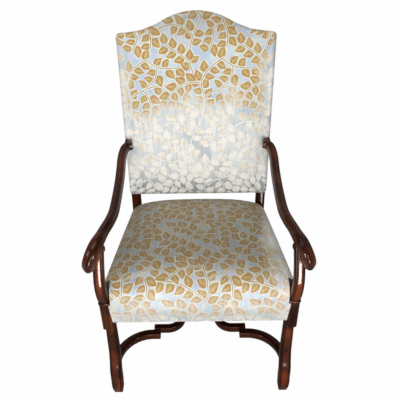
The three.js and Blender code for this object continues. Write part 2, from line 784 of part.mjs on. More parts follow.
// Room for a post and its collar, cut from the upholstery round it
function postNotch() {
  const inner = frontHalfSpan - postWidth / 2 - collarProud - clothGap;
  const rear = postDepth + collarProud + clothGap;
  const foot = postTop - collarHeight - 2 * collarProud;
  const centre = [inner + cutOverrun, rear - cutOverrun, foot + cutOverrun];
  return frontPostForm(clothGap).add(box(centre, 2 * cutOverrun, 2 * cutOverrun, 2 * cutOverrun));
}

// Outline of the back panel in its raked frame, with the hump of its top edge as tangent arcs
function humpLine(inset, top) {
  const angle = Math.acos(1 - humpHeight / (2 * humpRadius));
  const apex = top + humpHeight;
  const convex = new THREE.Vector2(0, apex - humpRadius);
  const turn = new THREE.Vector2(Math.sin(angle), Math.cos(angle)).multiplyScalar(2 * humpRadius);
  const points = [];
  for (let i = 0; i < humpSteps; i += 1) {
    const swing = (angle * i) / humpSteps;
    const out = humpRadius + inset;
    points.push([convex.x + turn.x - out * Math.sin(swing), convex.y + turn.y - out * Math.cos(swing)]);
  }
  for (let i = humpSteps; i >= 0; i -= 1) {
    const swing = (angle * i) / humpSteps;
    const out = humpRadius - inset;
    points.push([convex.x + out * Math.sin(swing), convex.y + out * Math.cos(swing)]);
  }
  const otherHalf = points.slice(0, -1).reverse().map(([x, z]) => [-x, z]);
  return [...points, ...otherHalf];
}

function panelHalfWidth(height) {
  return uprightX(height) + uprightWidth / 2 + sideFit;
}

const panelMiddle = panelFoot + panelHeight / 2;

function backRing(inset, front) {
  const near = Math.min(inset, backRoundReach);
  const far = 1 - (inset - near) / panelHalfWidth(panelFoot);
  const place = (x, z) => new THREE.Vector3(far * x, -front, panelMiddle + far * (z - panelMiddle));
  const [low, high] = [panelFoot + near, panelTop - near];
  const corner = (sign, z) => place(sign * (panelHalfWidth(z) - near), z);
  const [lowLeft, highLeft] = [corner(1, low), corner(1, high)];
  const [lowRight, highRight] = [corner(-1, low), corner(-1, high)];
  const radius = far * backCornerRadius;
  const top = humpLine(near, panelTop).map(([x, z]) => place(x, z));
  return [
    ...easedCorner(lowRight, lowLeft, highLeft, radius),
    ...evenPoints(lowLeft, highLeft, backSideSteps),
    ...easedCorner(lowLeft, highLeft, top[0], radius),
    ...top,
    ...easedCorner(top[top.length - 1], highRight, lowRight, radius),
    ...evenPoints(highRight, lowRight, backSideSteps),
    ...easedCorner(highRight, lowRight, lowLeft, radius),
    ...evenPoints(lowRight, lowLeft, backSideSteps),
  ];
}

function backTip(front) {
  return new THREE.Vector3(0, -front, panelMiddle);
}

const panelFront = uprightDepth / 2 + backPadding;
const panelRear = uprightDepth / 2 + fitGap + coverThickness;

function backProfile() {
  const edge = [0, 1 / 3, 2 / 3, 1].map((share) => {
    const swing = (share * Math.PI) / 2;
    return [backEdgeRadius * (1 - Math.cos(swing)), panelFront - backEdgeRadius * (1 - Math.sin(swing))];
  });
  const reach = panelHalfWidth(panelFoot);
  const crown = backCrownShares.map(([inset, high]) => [inset * reach, panelFront + high * backCrown]);
  return [[coverHem, -panelRear], [0, -panelRear], ...edge, [backRoundReach, panelFront], ...crown];
}

function outsideBack() {
  const near = panelRear + fitGap;
  return closedRings([near, near + outsideBackThickness].map((depth) => backRing(outsideBackInset, -depth)));
}

function crestRail() {
  const [low, high] = [panelTop - crestRailHeight, panelTop - sideFit];
  const half = uprightX(low) - uprightWidth / 2 - fitGap;
  const highHalf = uprightX(high) - uprightWidth / 2 - fitGap;
  const plan = new THREE.Shape([new THREE.Vector2(-half, low), new THREE.Vector2(half, low),
    new THREE.Vector2(highHalf, high)]);
  humpLine(sideFit, panelTop).filter(([x]) => Math.abs(x) < highHalf).forEach(([x, z]) => plan.lineTo(x, z));
  plan.lineTo(-highHalf, high);
  const front = uprightDepth / 2 - backRailThickness;
  const body = extruded(plan, backRailThickness).rotateX(Math.PI / 2).translate(0, -front, 0);
  return { body: solidOf(body), height: high - low, middle: (low + high) / 2 };
}

function railInBack(body, middle, height) {
  const half = uprightX(middle) - uprightWidth / 2;
  const y = (backRailThickness - uprightDepth) / 2;
  const ends = [-half, half].map((x) => new THREE.Vector3(x, y, middle));
  const { tenons, mortises } = tenonsOf(...ends, height);
  return { rail: joinAll([body, ...tenons]), mortises };
}

function footRail() {
  const middle = panelFoot + sideFit + footRailHeight / 2;
  const y = (backRailThickness - uprightDepth) / 2;
  const half = uprightX(middle - footRailHeight / 2) - uprightWidth / 2 - fitGap;
  const body = box([0, y, middle], 2 * half, backRailThickness, footRailHeight);
  return railInBack(body, middle, footRailHeight);
}

function backWebbing() {
  const y = -(uprightDepth / 2 + fitGap + webbingThickness / 2);
  const [low, high] = [panelFoot + sideFit + webbingTurnIn, panelTop - sideFit - webbingTurnIn];
  const bands = acrossShares.map((share) => box([share * rearHalfSpan, y, (low + high) / 2],
    webbingWidth, webbingThickness, high - low));
  backBandShares.forEach((share) => {
    const height = panelFoot + share * panelHeight;
    const half = uprightX(height) + uprightWidth / 2 - webbingTurnIn;
    bands.push(box([0, y, height], 2 * half, webbingThickness, webbingWidth));
  });
  return joinAll(bands);
}

function moved(solid, matrix) {
  return solidOf(geometryOf(solid).applyMatrix4(matrix));
}

// Materials
function wood() {
  return new THREE.MeshStandardMaterial({ color: 0x4a2418, roughness: 0.28, metalness: 0 });
}

function plainWood() {
  return new THREE.MeshStandardMaterial({ color: 0xb98d5c, roughness: 0.7, metalness: 0 });
}

function cloth(color) {
  return new THREE.MeshStandardMaterial({ color, roughness: 0.8, metalness: 0 });
}

function steel() {
  return new THREE.MeshStandardMaterial({ color: 0x9a9c9e, roughness: 0.4, metalness: 1 });
}

const chair = new THREE.Group();
const backGroup = new THREE.Group();
backGroup.rotation.x = -rake;
backGroup.position.set(0, backAxisY, backBase);
chair.add(backGroup);

function place(group, name, solid, material) {
  const mesh = new THREE.Mesh(geometryOf(solid), material);
  mesh.name = name;
  group.add(mesh);
}

// A piece on the sitter's left and its mirror image on the right
function placePair(group, name, solid, materialOf) {
  place(group, `${name}_left`, solid, materialOf());
  const other = new THREE.Mesh(mirrored(geometryOf(solid)), materialOf());
  other.name = `${name}_right`;
  group.add(other);
}

// Seat frame pieces and the joints that they share with the legs
const railMiddle = railBottom + railHeight / 2;
const frontRail = crossRail(frontHalfSpan - postWidth / 2, frontRailY, railMiddle);
const rearRail = crossRail(rearHalfSpan - uprightWidth / 2, rearRailY, railMiddle);
const side = sideRail();
const frontCorner = cornerBlock(frontRailY + railThickness / 2 + fitGap, 1);
const rearCorner = cornerBlock(seatDepth - fitGap, -1);
const sideRailSolid = cutAll(side.rail, [frontCorner.screw.hole, rearCorner.screw.hole]);

// Back frame pieces, in the raked frame
const crestBody = crestRail();
const crest = railInBack(crestBody.body, crestBody.middle, crestBody.height);
const backFoot = footRail();
const backMortises = [...crest.mortises, ...backFoot.mortises].map((solid) => moved(solid, backFrame));

// Dowels of the carved pieces
const lapX = (scrollEndX + bracketEndX) / 2;
const supportFoot = new THREE.Vector3(frontHalfSpan, supportFootShare * supportLean, postTop);
const postDowel = dowelAt(supportFoot, upward);
const frontScrollDowel = dowelAt(new THREE.Vector3(frontHalfSpan, legBackY, stretcherHeight), backward);
const rearScrollDowel = dowelAt(new THREE.Vector3(rearStretcherX, rearLegFaceY, stretcherHeight), backward);
const frontLap = dowelAt(new THREE.Vector3(lapX, scrollJointY, stretcherHeight), backward);
const rearLap = dowelAt(new THREE.Vector3(lapX, acrossMiddle(scrollJointY), stretcherHeight), backward);
const armSeatX = (frontHalfSpan - supportSway + armFrontX) / 2;
const armSeat = new THREE.Vector3(armSeatX, supportLean, armLow - armDepth / 2);
const armDowel = dowelAt(armSeat, upward);

// Arm screw, let in from the back of the upright
const armScrewHeight = armLow + armRise;
const armScrewHeadY = uprightFaceY(armScrewHeight, uprightDepth / 2) - 2 * screwHeadSink;
const armScrew = screwAt(new THREE.Vector3(armBlockX, armScrewHeadY, armScrewHeight),
  new THREE.Vector3(armBlockX, armRearY, armScrewHeight));

// Legs
const frontFoot = footForm(frontHalfSpan, footFront + footLength / 2);
const frontLeg = cutAll(joinAll([frontLegForm(0), frontPostForm(0), frontFoot]),
  [...frontRail.mortises, ...side.mortises, postDowel.hole, frontScrollDowel.hole]);
placePair(chair, "front_leg", frontLeg, wood);

const rearFootX = rearHalfSpan + rearLegFlare;
const rearFootY = uprightAxisY + rearLegSweep;
const rearLeg = cutAll(rearLegForm(0).add(footForm(rearFootX, rearFootY)),
  [...rearRail.mortises, ...side.mortises, ...backMortises, rearScrollDowel.hole, armScrew.hole]);
placePair(chair, "rear_leg", rearLeg, wood);

placePair(chair, "front_glide", glide(frontHalfSpan, footFront + footLength / 2), () => cloth(0xc9c6bd));
placePair(chair, "rear_glide", glide(rearFootX, rearFootY), () => cloth(0xc9c6bd));

// Arms and their supports
const armSolid = cutAll(armForm(0), [armDowel.hole, armScrew.hole]);
placePair(chair, "arm", armSolid, wood);
placePair(chair, "arm_support", cutAll(supportForm(),
  [armForm(fitGap), frontPostForm(fitGap), armDowel.hole, postDowel.hole]), wood);
const blockCuts = [armForm(fitGap), rearLegForm(fitGap), armScrew.hole];
placePair(chair, "arm_block", cutAll(armBlockBox(0), blockCuts), wood);

// Stretcher
placePair(chair, "front_scroll", cutAll(frontScroll(),
  [frontLegForm(fitGap), frontScrollDowel.hole, frontLap.hole]), wood);
placePair(chair, "rear_scroll", cutAll(rearScroll(),
  [rearLegForm(fitGap), rearScrollDowel.hole, rearLap.hole]), wood);
const spigotHoles = spigots((from, to) => rodHole(from, to, spigotDiameter));
placePair(chair, "bracket", cutAll(bracketForm(), [spigotHoles, frontLap.hole, rearLap.hole]), wood);
place(chair, "cross_bar", crossBar(), wood());

// Seat frame
place(chair, "front_seat_rail", frontRail.rail, plainWood());
place(chair, "rear_seat_rail", rearRail.rail, plainWood());
placePair(chair, "side_seat_rail", sideRailSolid, plainWood);
placePair(chair, "front_corner_block", frontCorner.block, plainWood);
placePair(chair, "rear_corner_block", rearCorner.block, plainWood);

// Fasteners
placePair(chair, "post_dowel", postDowel.solid, plainWood);
placePair(chair, "arm_dowel", armDowel.solid, plainWood);
placePair(chair, "front_scroll_dowel", frontScrollDowel.solid, plainWood);
placePair(chair, "rear_scroll_dowel", rearScrollDowel.solid, plainWood);
placePair(chair, "front_lap_dowel", frontLap.solid, plainWood);
placePair(chair, "rear_lap_dowel", rearLap.solid, plainWood);
placePair(chair, "arm_screw", armScrew.solid, steel);
placePair(chair, "front_corner_screw", frontCorner.screw.solid, steel);
placePair(chair, "rear_corner_screw", rearCorner.screw.solid, steel);

// Seat upholstery
const seatNotches = [postNotch(), rearLegForm(clothGap)].flatMap((notch) => [notch, mirroredSolid(notch)]);
const seatPad = padForm(seatProfile(), seatRing, seatTip, seatTop, padFoot);
const seatCover = coverShell(seatProfile(), seatRing, seatTip, seatTop);
place(chair, "seat_webbing", seatWebbing(), cloth(0xb59c72));
place(chair, "seat_pad", cutAll(seatPad, seatNotches), cloth(0xe6dfcc));
place(chair, "seat_cover", cutAll(seatCover, seatNotches), cloth(0xc4d2d4));
place(chair, "dust_cover", cutAll(dustCover(), seatNotches), cloth(0x2b2a2a));

// Back upholstery
const backPadFoot = uprightDepth / 2 + 2 * fitGap + webbingThickness;
const panelTip = panelFront + backCrown;
const blockHole = moved(armBlockBox(clothGap).add(armForm(clothGap)), intoBackFrame);
const uprightHole = moved(rearLegForm(clothGap), intoBackFrame);
const padHoles = [blockHole, mirroredSolid(blockHole)];
const coverHoles = [...padHoles, uprightHole, mirroredSolid(uprightHole)];
const backPad = padForm(backProfile(), backRing, backTip, panelTip, backPadFoot);
const backCover = coverShell(backProfile(), backRing, backTip, panelTip);
place(backGroup, "back_crest_rail", crest.rail, plainWood());
place(backGroup, "back_foot_rail", backFoot.rail, plainWood());
place(backGroup, "back_webbing", cutAll(backWebbing(), padHoles), cloth(0xb59c72));
place(backGroup, "back_pad", cutAll(backPad, padHoles), cloth(0xe6dfcc));
place(backGroup, "back_cover", cutAll(backCover, coverHoles), cloth(0xc4d2d4));
place(backGroup, "outside_back", outsideBack(), cloth(0xb9c6c8));

// The origin is the middle of the chair's footprint, on the floor
chair.updateMatrixWorld(true);
const bounds = new THREE.Box3().setFromObject(chair, true);
const centre = bounds.getCenter(new THREE.Vector3());
chair.position.set(-centre.x, -centre.y, -bounds.min.z);
chair.updateMatrixWorld(true);

export default chair;
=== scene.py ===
import math

import bmesh
import bpy
from mathutils import Matrix, Vector
from mathutils.bvhtree import BVHTree
from mathutils.geometry import interpolate_bezier


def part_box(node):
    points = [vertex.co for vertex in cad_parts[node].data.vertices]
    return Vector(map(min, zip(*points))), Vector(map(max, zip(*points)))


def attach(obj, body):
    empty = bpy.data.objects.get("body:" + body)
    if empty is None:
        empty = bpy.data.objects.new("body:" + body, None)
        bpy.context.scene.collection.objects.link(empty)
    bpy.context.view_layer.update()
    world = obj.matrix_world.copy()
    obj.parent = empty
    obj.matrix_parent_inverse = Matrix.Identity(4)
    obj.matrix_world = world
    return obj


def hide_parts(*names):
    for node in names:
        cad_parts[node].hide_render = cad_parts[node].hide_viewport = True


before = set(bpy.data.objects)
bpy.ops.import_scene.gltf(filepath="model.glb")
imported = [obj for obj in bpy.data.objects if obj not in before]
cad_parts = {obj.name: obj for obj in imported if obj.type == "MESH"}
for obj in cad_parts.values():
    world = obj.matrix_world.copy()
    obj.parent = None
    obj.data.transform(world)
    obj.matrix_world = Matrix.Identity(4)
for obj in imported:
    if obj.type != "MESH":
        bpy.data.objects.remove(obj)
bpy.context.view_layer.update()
scene = bpy.context.scene

# Shared sizes of the chair, in metres; depths run back from the front face of the front posts
chair = {
    "frontX": 0.2955, "rearX": 0.242, "railsFoot": 0.356, "railSetback": 0.012, "postTop": 0.451,
    "legTop": 0.345, "armLow": 0.685, "armRise": 0.053, "uprightY": 0.503, "uprightSize": 0.034,
    "splay": 0.014 / 0.589, "backY": 0.510, "backZ": 0.460, "rake": math.radians(12.2), "panelLow": 0.068,
    "panelTop": 0.657, "cut": 0.0005, "fit": 0.0003,
}
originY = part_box("front_seat_rail")[0].y - chair["railSetback"]  # those front faces in the row frame
toRow = Matrix.Translation((0, originY, 0))
backFrame = Matrix.Translation((0, chair["backY"], chair["backZ"])) @ Matrix.Rotation(-chair["rake"], 4, "X")


# small tools for lines and tables
def smoothLine(places, fineness=14):
    places = [Vector(p) for p in places]
    around = [2 * places[0] - places[1], *places, 2 * places[-1] - places[-2]]
    line = []
    for before, start, end, after in zip(around, around[1:], around[2:], around[3:]):
        lead, run, trail = [(b - a).length ** 0.5 for a, b in ((before, start), (start, end), (end, after))]
        leave = ((start - before) / lead - (end - before) / (lead + run) + (end - start) / run) * run
        arrive = ((end - start) / run - (after - start) / (run + trail) + (after - end) / trail) * run
        line += interpolate_bezier(start, start + leave / 3, end - arrive / 3, end, fineness)[:-1]
    return [*line, places[-1]]


def evenly(line, spacing):
    travelled = [0.0]
    for a, b in zip(line, line[1:]):
        travelled.append(travelled[-1] + (b - a).length)
    count = max(2, round(travelled[-1] / spacing))
    even, k = [], 0
    for i in range(count + 1):
        goal = travelled[-1] * i / count
        while k < len(line) - 2 and travelled[k + 1] < goal:
            k += 1
        even.append(line[k].lerp(line[k + 1], (goal - travelled[k]) / (travelled[k + 1] - travelled[k])))
    return even


def tableOf(rows):
    return [(p.x, p.y) for p in smoothLine([(share, value, 0) for share, value in rows], 12)]


def lookUp(table, share):
    for (start, low), (end, high) in zip(table, table[1:]):
        if share <= end:
            return low + (high - low) * min(max((share - start) / max(end - start, 1e-9), 0), 1)
    return table[-1][1]


def smoothStep(low, high, value):
    t = min(max((value - low) / (high - low), 0), 1)
    return t * t * (3 - 2 * t)


def between(low, high, share):
    return low + (high - low) * share


# from bmesh to finished pieces
def meshFrom(bm):
    bmesh.ops.recalc_face_normals(bm, faces=bm.faces)
    mesh = bpy.data.meshes.new("shape")
    bm.to_mesh(mesh)
    bm.free()
    return mesh


def placed(name, data):
    thing = bpy.data.objects.new(name, data)
    scene.collection.objects.link(thing)
    return thing


def finished(worker):  # its mesh with the modifiers applied
    bpy.context.view_layer.update()
    made = bpy.data.meshes.new_from_object(worker.evaluated_get(bpy.context.evaluated_depsgraph_get()))
    bpy.data.objects.remove(worker)
    return made


def cutOrJoined(mesh, tools, operation):
    worker = placed("worker", mesh)
    helpers = [placed("helper", tool) for tool in tools]
    for helper in helpers:
        step = worker.modifiers.new("step", "BOOLEAN")
        step.operation, step.solver, step.object = operation, "EXACT", helper
    made = finished(worker)
    for helper in helpers:
        bpy.data.objects.remove(helper)
    return made


def mirrored(mesh):
    bm = bmesh.new()
    bm.from_mesh(mesh)
    bmesh.ops.scale(bm, vec=(-1, 1, 1), verts=bm.verts)
    bmesh.ops.reverse_faces(bm, faces=bm.faces)
    other = bpy.data.meshes.new("mirrored")
    bm.to_mesh(other)
    bm.free()
    return other


def piece(name, mesh, paint, nodes, crease=32):
    mesh.name = name
    mesh.materials.clear()
    mesh.materials.append(paint)
    mesh.shade_smooth()
    mesh.set_sharp_from_angle(angle=math.radians(crease))
    thing = placed(name, mesh)
    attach(thing, "root")
    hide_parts(*nodes)
    return thing


def pair(name, mesh, paint, node):  # a carved piece and its mirror image
    for side, shape in (("left", mesh), ("right", mirrored(mesh))):
        piece(f"{name}_{side}", shape, paint, [f"{node}_{side}"])


def eased(bm, edges, width, segments=2):
    bmesh.ops.bevel(bm, geom=edges, offset=width, segments=segments, profile=0.5, affect="EDGES", material=-1)


def extruded(bm, edges):  # the new vertices, and the edges between them
    grown = bmesh.ops.extrude_edge_only(bm, edges=edges)["geom"]
    fresh = [g for g in grown if isinstance(g, bmesh.types.BMVert)]
    known = set(fresh)
    return fresh, [g for g in grown if isinstance(g, bmesh.types.BMEdge) and set(g.verts) <= known]


# carved members: a rounded square carried along a line
def squaredCircle(bm, sides, squareness):
    edgeShadeAndWear = bm.verts.layers.float.new("edgeShadeAndWear")
    ring = bmesh.ops.create_circle(bm, cap_ends=True, segments=sides, radius=1)["verts"]
    bmesh.ops.rotate(bm, cent=(0, 0, 0), matrix=Matrix.Rotation(math.pi / sides, 3, "Z"), verts=ring)
    for vert in ring:
        # how near each point lies to a corner of the section: the wood darkens corners by it as painted
        # shade, and rubs them lighter by it as real wear
        vert[edgeShadeAndWear] = (2 * abs(vert.co.x * vert.co.y)) ** 2
        vert.co = [math.copysign(abs(c) ** (2 / squareness), c) for c in vert.co]
        vert.co.z = 0


def lofted(stations, squareness, sides=32, rim=0.0014):
    bm = bmesh.new()
    squaredCircle(bm, sides, squareness)
    bmesh.ops.transform(bm, matrix=stations[0], verts=bm.verts)
    ends = edges = list(bm.edges)
    for before, after in zip(stations, stations[1:]):
        fresh, edges = extruded(bm, edges)
        bmesh.ops.transform(bm, matrix=after @ before.inverted(), verts=fresh)
    bmesh.ops.edgeloop_fill(bm, edges=edges)
    if rim:
        eased(bm, [*ends, *edges], rim)
    return meshFrom(bm)


def stationsAlong(line, side, sizeAt, grow=0.0):
    around = [line[0], *line, line[-1]]
    tangents = [(after - before).normalized() for before, after in zip(around, around[2:])]
    lengths = [0.0]
    for a, b in zip(line, line[1:]):
        lengths.append(lengths[-1] + (b - a).length)
    across, stations = Vector(side), []
    for i, point in enumerate(line):
        if i:
            across.rotate(tangents[i - 1].rotation_difference(tangents[i]))
        tangent = tangents[i]
        across = (across - tangent * across.dot(tangent)).normalized()
        face = tangent.cross(across)
        half = sizeAt(lengths[i] / lengths[-1])
        columns = (across * (half[0] + grow), face * (half[1] + grow), tangent, point)
        stations.append(toRow @ Matrix([[c[r] for c in columns] for r in range(3)] + [[0, 0, 0, 1]]))
    return stations


def carved(line, side, sizeAt, squareness, grow=0.0, spacing=0.006):
    return lofted(stationsAlong(evenly(line, spacing), side, sizeAt, grow), squareness)


def sizedBy(rows, width, depth):
    table = tableOf(rows)
    return lambda share: [lookUp(table, share) * size / 2 for size in (width, depth)]


# shader socket maths
class Wire:
    def __init__(self, paint, socket):
        self.paint, self.socket = paint, socket

    def to(self, operation, *others):
        return self.paint.node("ShaderNodeMath", {"operation": operation}, dict(enumerate([self, *others])))

    def __add__(self, other):
        return self.to("ADD", other)

    __radd__ = __add__

    def __mul__(self, other):
        return self.to("MULTIPLY", other)

    __rmul__ = __mul__

    def __sub__(self, other):
        return self.to("SUBTRACT", other)

    def __rsub__(self, other):
        return self.paint.node("ShaderNodeMath", {"operation": "SUBTRACT"}, {0: other, 1: self})

    def __truediv__(self, other):
        return self.to("DIVIDE", other)

    def __pow__(self, other):
        return self.to("POWER", other)

    def __lt__(self, other):
        return self.to("LESS_THAN", other)

    def __gt__(self, other):
        return self.to("GREATER_THAN", other)

    def __abs__(self):
        return self.to("ABSOLUTE")

    def clear(self, low, high):  # 0 below low, 1 above high
        return self.paint.node("ShaderNodeMapRange", {"interpolation_type": "SMOOTHSTEP"},
                               {0: self, 1: low, 2: high})


class Paint:
    def __init__(self, name, library="materials", shader="Principled BSDF", **uniform):
        self.owner = getattr(bpy.data, library).new(name)
        self.owner.use_nodes = True
        self.tree = self.owner.node_tree
        self.shader = self.tree.nodes[shader]
        for socket, value in uniform.items():
            self.shader.inputs[socket.replace("_", " ")].default_value = value

    def node(self, kind, settings=None, sockets=None, output=0):
        made = self.tree.nodes.new(kind)
        for key, value in (settings or {}).items():
            setattr(made, key, value)
        for key, value in (sockets or {}).items():
            if isinstance(value, Wire):
                self.tree.links.new(value.socket, made.inputs[key])
            else:
                made.inputs[key].default_value = value
        return Wire(self, made.outputs[output])

    def mix(self, factor, first, second, blend="MIX"):
        first, second = [(*color(c), 1) if isinstance(c, str) else c for c in (first, second)]
        return self.node("ShaderNodeMix", {"data_type": "RGBA", "blend_type": blend, "clamp_factor": True},
                         {0: factor, 6: first, 7: second}, 2)

    def vectors(self, operation, *sockets, output=0):
        return self.node("ShaderNodeVectorMath", {"operation": operation}, dict(enumerate(sockets)), output)

    def split(self, vector):
        return [self.node("ShaderNodeSeparateXYZ", sockets={0: vector}, output=k) for k in (0, 1)]

    def place(self, scale=(1, 1, 1)):
        spot = self.node("ShaderNodeTexCoord", output="Object")
        return self.node("ShaderNodeMapping", sockets={0: spot, "Scale": scale})

    def noise(self, vector, scale, detail=4, roughness=0.5, distortion=0):
        return self.node("ShaderNodeTexNoise", {}, {"Vector": vector, "Scale": scale, "Detail": detail,
                                                    "Roughness": roughness, "Distortion": distortion})

    def bands(self, vector, way, scale, distortion):
        return self.node("ShaderNodeTexWave", {"wave_type": "BANDS", "bands_direction": way},
                         {"Vector": vector, "Scale": scale, "Distortion": distortion})

    def bump(self, height, strength, distance):
        return self.node("ShaderNodeBump", {}, {"Strength": strength, "Distance": distance, "Height": height})

    def feeds(self, **links):
        for socket, wire in links.items():
            self.tree.links.new(wire.socket, self.shader.inputs[socket.replace("_", " ")])
        return self.owner


def color(code):
    parts = [int(code[i:i + 2], 16) / 255 for i in (0, 2, 4)]
    return tuple(c / 12.92 if c <= 0.04045 else ((c + 0.055) / 1.055) ** 2.4 for c in parts)


# varnished wood, grain along one axis; its darker corners are painted shade, and its red patches are partly
# painted light, more on lit pieces and less on shaded ones
varnish = {
    # edge: painted shade on the corners of each member; worn: real wear on them
    "dark": "140602", "mid": "3a1306", "red": "7e360d", "pore": "0a0301", "edge": "0e0402", "worn": "915a38",
    "base": 0.1, "tint": (1, 0.34, 0.17, 1), "coat": 0.1, "roughness": 0.34, "grain": 9.0, "coatLost": 0.75,
}


def varnishedWood(name, along, paintedLitRed, polish=0.45):
    stretch = [1.0 if axis == along else varnish["grain"] for axis in "XYZ"]
    paint = Paint(name, Coat_Roughness=varnish["coat"], Specular_IOR_Level=varnish["base"],
                  Specular_Tint=varnish["tint"])
    spot = paint.place(scale=stretch)
    broad, fine = paint.noise(spot, 9, 3, 0.6, 1.2), paint.noise(spot, 60, 4, 0.65, 0.3)
    pores = paint.noise(paint.place(scale=[s * s for s in stretch]), 40, 2).clear(0.62, 0.7)
    patches = paint.noise(paint.place(), 9, 3)
    edgeShadeAndWear = paint.node("ShaderNodeAttribute", {"attribute_name": "edgeShadeAndWear"}, output="Fac")
    rubbed = edgeShadeAndWear.clear(0.75, 1.0) * patches.clear(0.35, 0.65)
    wood = paint.mix(broad.clear(0.35, 0.7), varnish["dark"], varnish["mid"])
    # red patches: partly the wood's random tone, partly painted light, scaled per piece
    for amount, stain in ((fine.clear(0.45, 0.75) * 0.4, "red"), (patches.clear(0.42, 0.68) * paintedLitRed, "red"),
                          # the edge colour on the corners is painted shade; the worn colour in patches is
                          # real wear
                          (pores * 0.5, "pore"), (edgeShadeAndWear.clear(0.1, 0.8) * 0.85, "edge"),
                          (rubbed * 0.15, "worn")):
        wood = paint.mix(amount, wood, varnish[stain])
    return paint.feeds(Base_Color=wood, Roughness=varnish["roughness"] + 0.1 * fine + 0.08 * patches,
                       Coat_Weight=polish - edgeShadeAndWear.clear(0.25, 0.85) * (polish * varnish["coatLost"]),
                       Normal=paint.bump(fine * 0.4 - pores * 0.6, 0.2, 0.0003))


# lit and shaded copies of one wood, by their painted red light: most on the front legs and supports, less on
# the arms, least on the shaded rear legs, stretcher and bracket
uprightWood = varnishedWood("upright wood", "Z", 0.9)
rearWood = varnishedWood("rear wood", "Z", 0.25, 0.2)
armWood = varnishedWood("arm wood", "Y", 0.45, 0.6)
crossWood = varnishedWood("cross wood", "X", 0.2)
bracketWood = varnishedWood("bracket wood", "Y", 0.2)


# posts, legs, arms and supports
post = {
    "width": 0.034, "depth": 0.050, "toeWidth": 0.031, "toeDepth": 0.046, "overlap": 0.011, "collar": 0.005,
    "ease": 0.0016, "rim": 0.0006, "squareness": 5,
    # the collar's edge: height above its foot, and how much wider the post is there
    "edge": [(-0.0019, 0), (-0.0011, 0.0012), (0, 0.0034), (0.0006, 0.0038), (0.0032, 0.0038),
             (0.0045, 0.0026)],
}


def postMesh(grow=0.0):
    width, depth, ease = post["width"], post["depth"], post["ease"]
    foot, collarFoot = chair["legTop"] - post["overlap"], chair["postTop"] - post["collar"]
    rows = [(foot - grow, post["toeWidth"], post["toeDepth"])]
    rows += [(between(foot + ease, (foot + collarFoot) / 2, k / 6),
              between(post["toeWidth"] + 2 * ease, width, k / 6),
              between(post["toeDepth"] + 2 * ease, depth, k / 6)) for k in range(7)]
    rows += [(collarFoot + rise, width + more, depth + more) for rise, more in post["edge"]]
    rows.append((chair["postTop"] + grow, width, depth))
    stations = []
    for height, wide, deep in rows:
        middle = Vector((chair["frontX"] - max((width - wide) / 2, 0), depth / 2, height))
        scale = Matrix.Diagonal((wide / 2 + grow, deep / 2 + grow, 1, 1))
        stations.append(toRow @ Matrix.Translation(middle) @ scale)
    return lofted(stations, post["squareness"], sides=40, rim=0 if grow else post["rim"])


def blockOf(size, middle):
    bm = bmesh.new()
    bmesh.ops.create_cube(bm, size=1)
    bmesh.ops.scale(bm, vec=size, verts=bm.verts)
    bmesh.ops.translate(bm, vec=toRow @ Vector(middle), verts=bm.verts)
    return bm


flatFoot = {"size": (0.031, 0.040, 0.011), "height": 0.0085, "corner": 0.005, "rim": 0.0008}


def footBlock(x, y):
    bm = blockOf(flatFoot["size"], (x, y, flatFoot["height"]))
    eased(bm, [e for e in bm.edges if abs(e.verts[0].co.z - e.verts[1].co.z) > 0.001], flatFoot["corner"], 3)
    eased(bm, [e for e in bm.edges if e.calc_face_angle(0) > 1], flatFoot["rim"])
    return meshFrom(bm)


frontLeg = {
    "backset": 0.048, "width": 0.0405, "depth": 0.038, "squareness": 3.2, "footY": 0.023,
    "line": [(1, 1), (0.96, 0.87), (0.9, 0.61), (0.88, 0.52), (0.67, 0.406), (0.42, 0.319),
             (0.35, 0.203), (0.24, 0.105), (0.3, 0.035)],
    "sizes": [(0, 0.84), (0.35, 0.93), (0.6, 1), (0.9, 1.02), (1, 0.84)],
}


def frontLegMesh(grow=0.0):
    line = smoothLine([(chair["frontX"], back * frontLeg["backset"], high * chair["legTop"])
                       for back, high in frontLeg["line"]])
    return carved(line, (1, 0, 0), sizedBy(frontLeg["sizes"], frontLeg["width"], frontLeg["depth"]),
                  frontLeg["squareness"], grow)


rearLeg = {
    "sweep": 0.064, "flare": 0.006, "foot": 0.3583, "footX": 0.248, "footY": 0.567, "squareness": 5,
    "headroom": 0.0090,  # keeps its top under the rounded corner of the back
    "line": [(1, 0.03), (0.82, 0.13), (0.56, 0.335), (0.34, 0.5), (0.12, 0.7), (0.01, 0.87),
             (0, 0.95), (0, 1.07), (0, 1.15)],
    "sizes": [(0, 0.84), (0.15, 0.9), (0.3, 1), (1, 1)],
}


def uprightX(height):
    return chair["rearX"] + chair["splay"] * height


def backPlace(x, depth, height):
    return backFrame @ Vector((x, depth, height))


def rearLegMesh(grow=0.0):
    top, size = chair["panelTop"] - rearLeg["headroom"], chair["uprightSize"]
    places = [(chair["rearX"] + sweep * rearLeg["flare"], chair["uprightY"] + sweep * rearLeg["sweep"],
               high * rearLeg["foot"]) for sweep, high in rearLeg["line"]]
    places += [backPlace(uprightX(height), 0, height) for height in (0, chair["panelLow"])]
    line = [*smoothLine(places), backPlace(uprightX(top), 0, top)]
    return carved(line, (1, 0, 0), sizedBy(rearLeg["sizes"], size, size), rearLeg["squareness"], grow, 0.009)


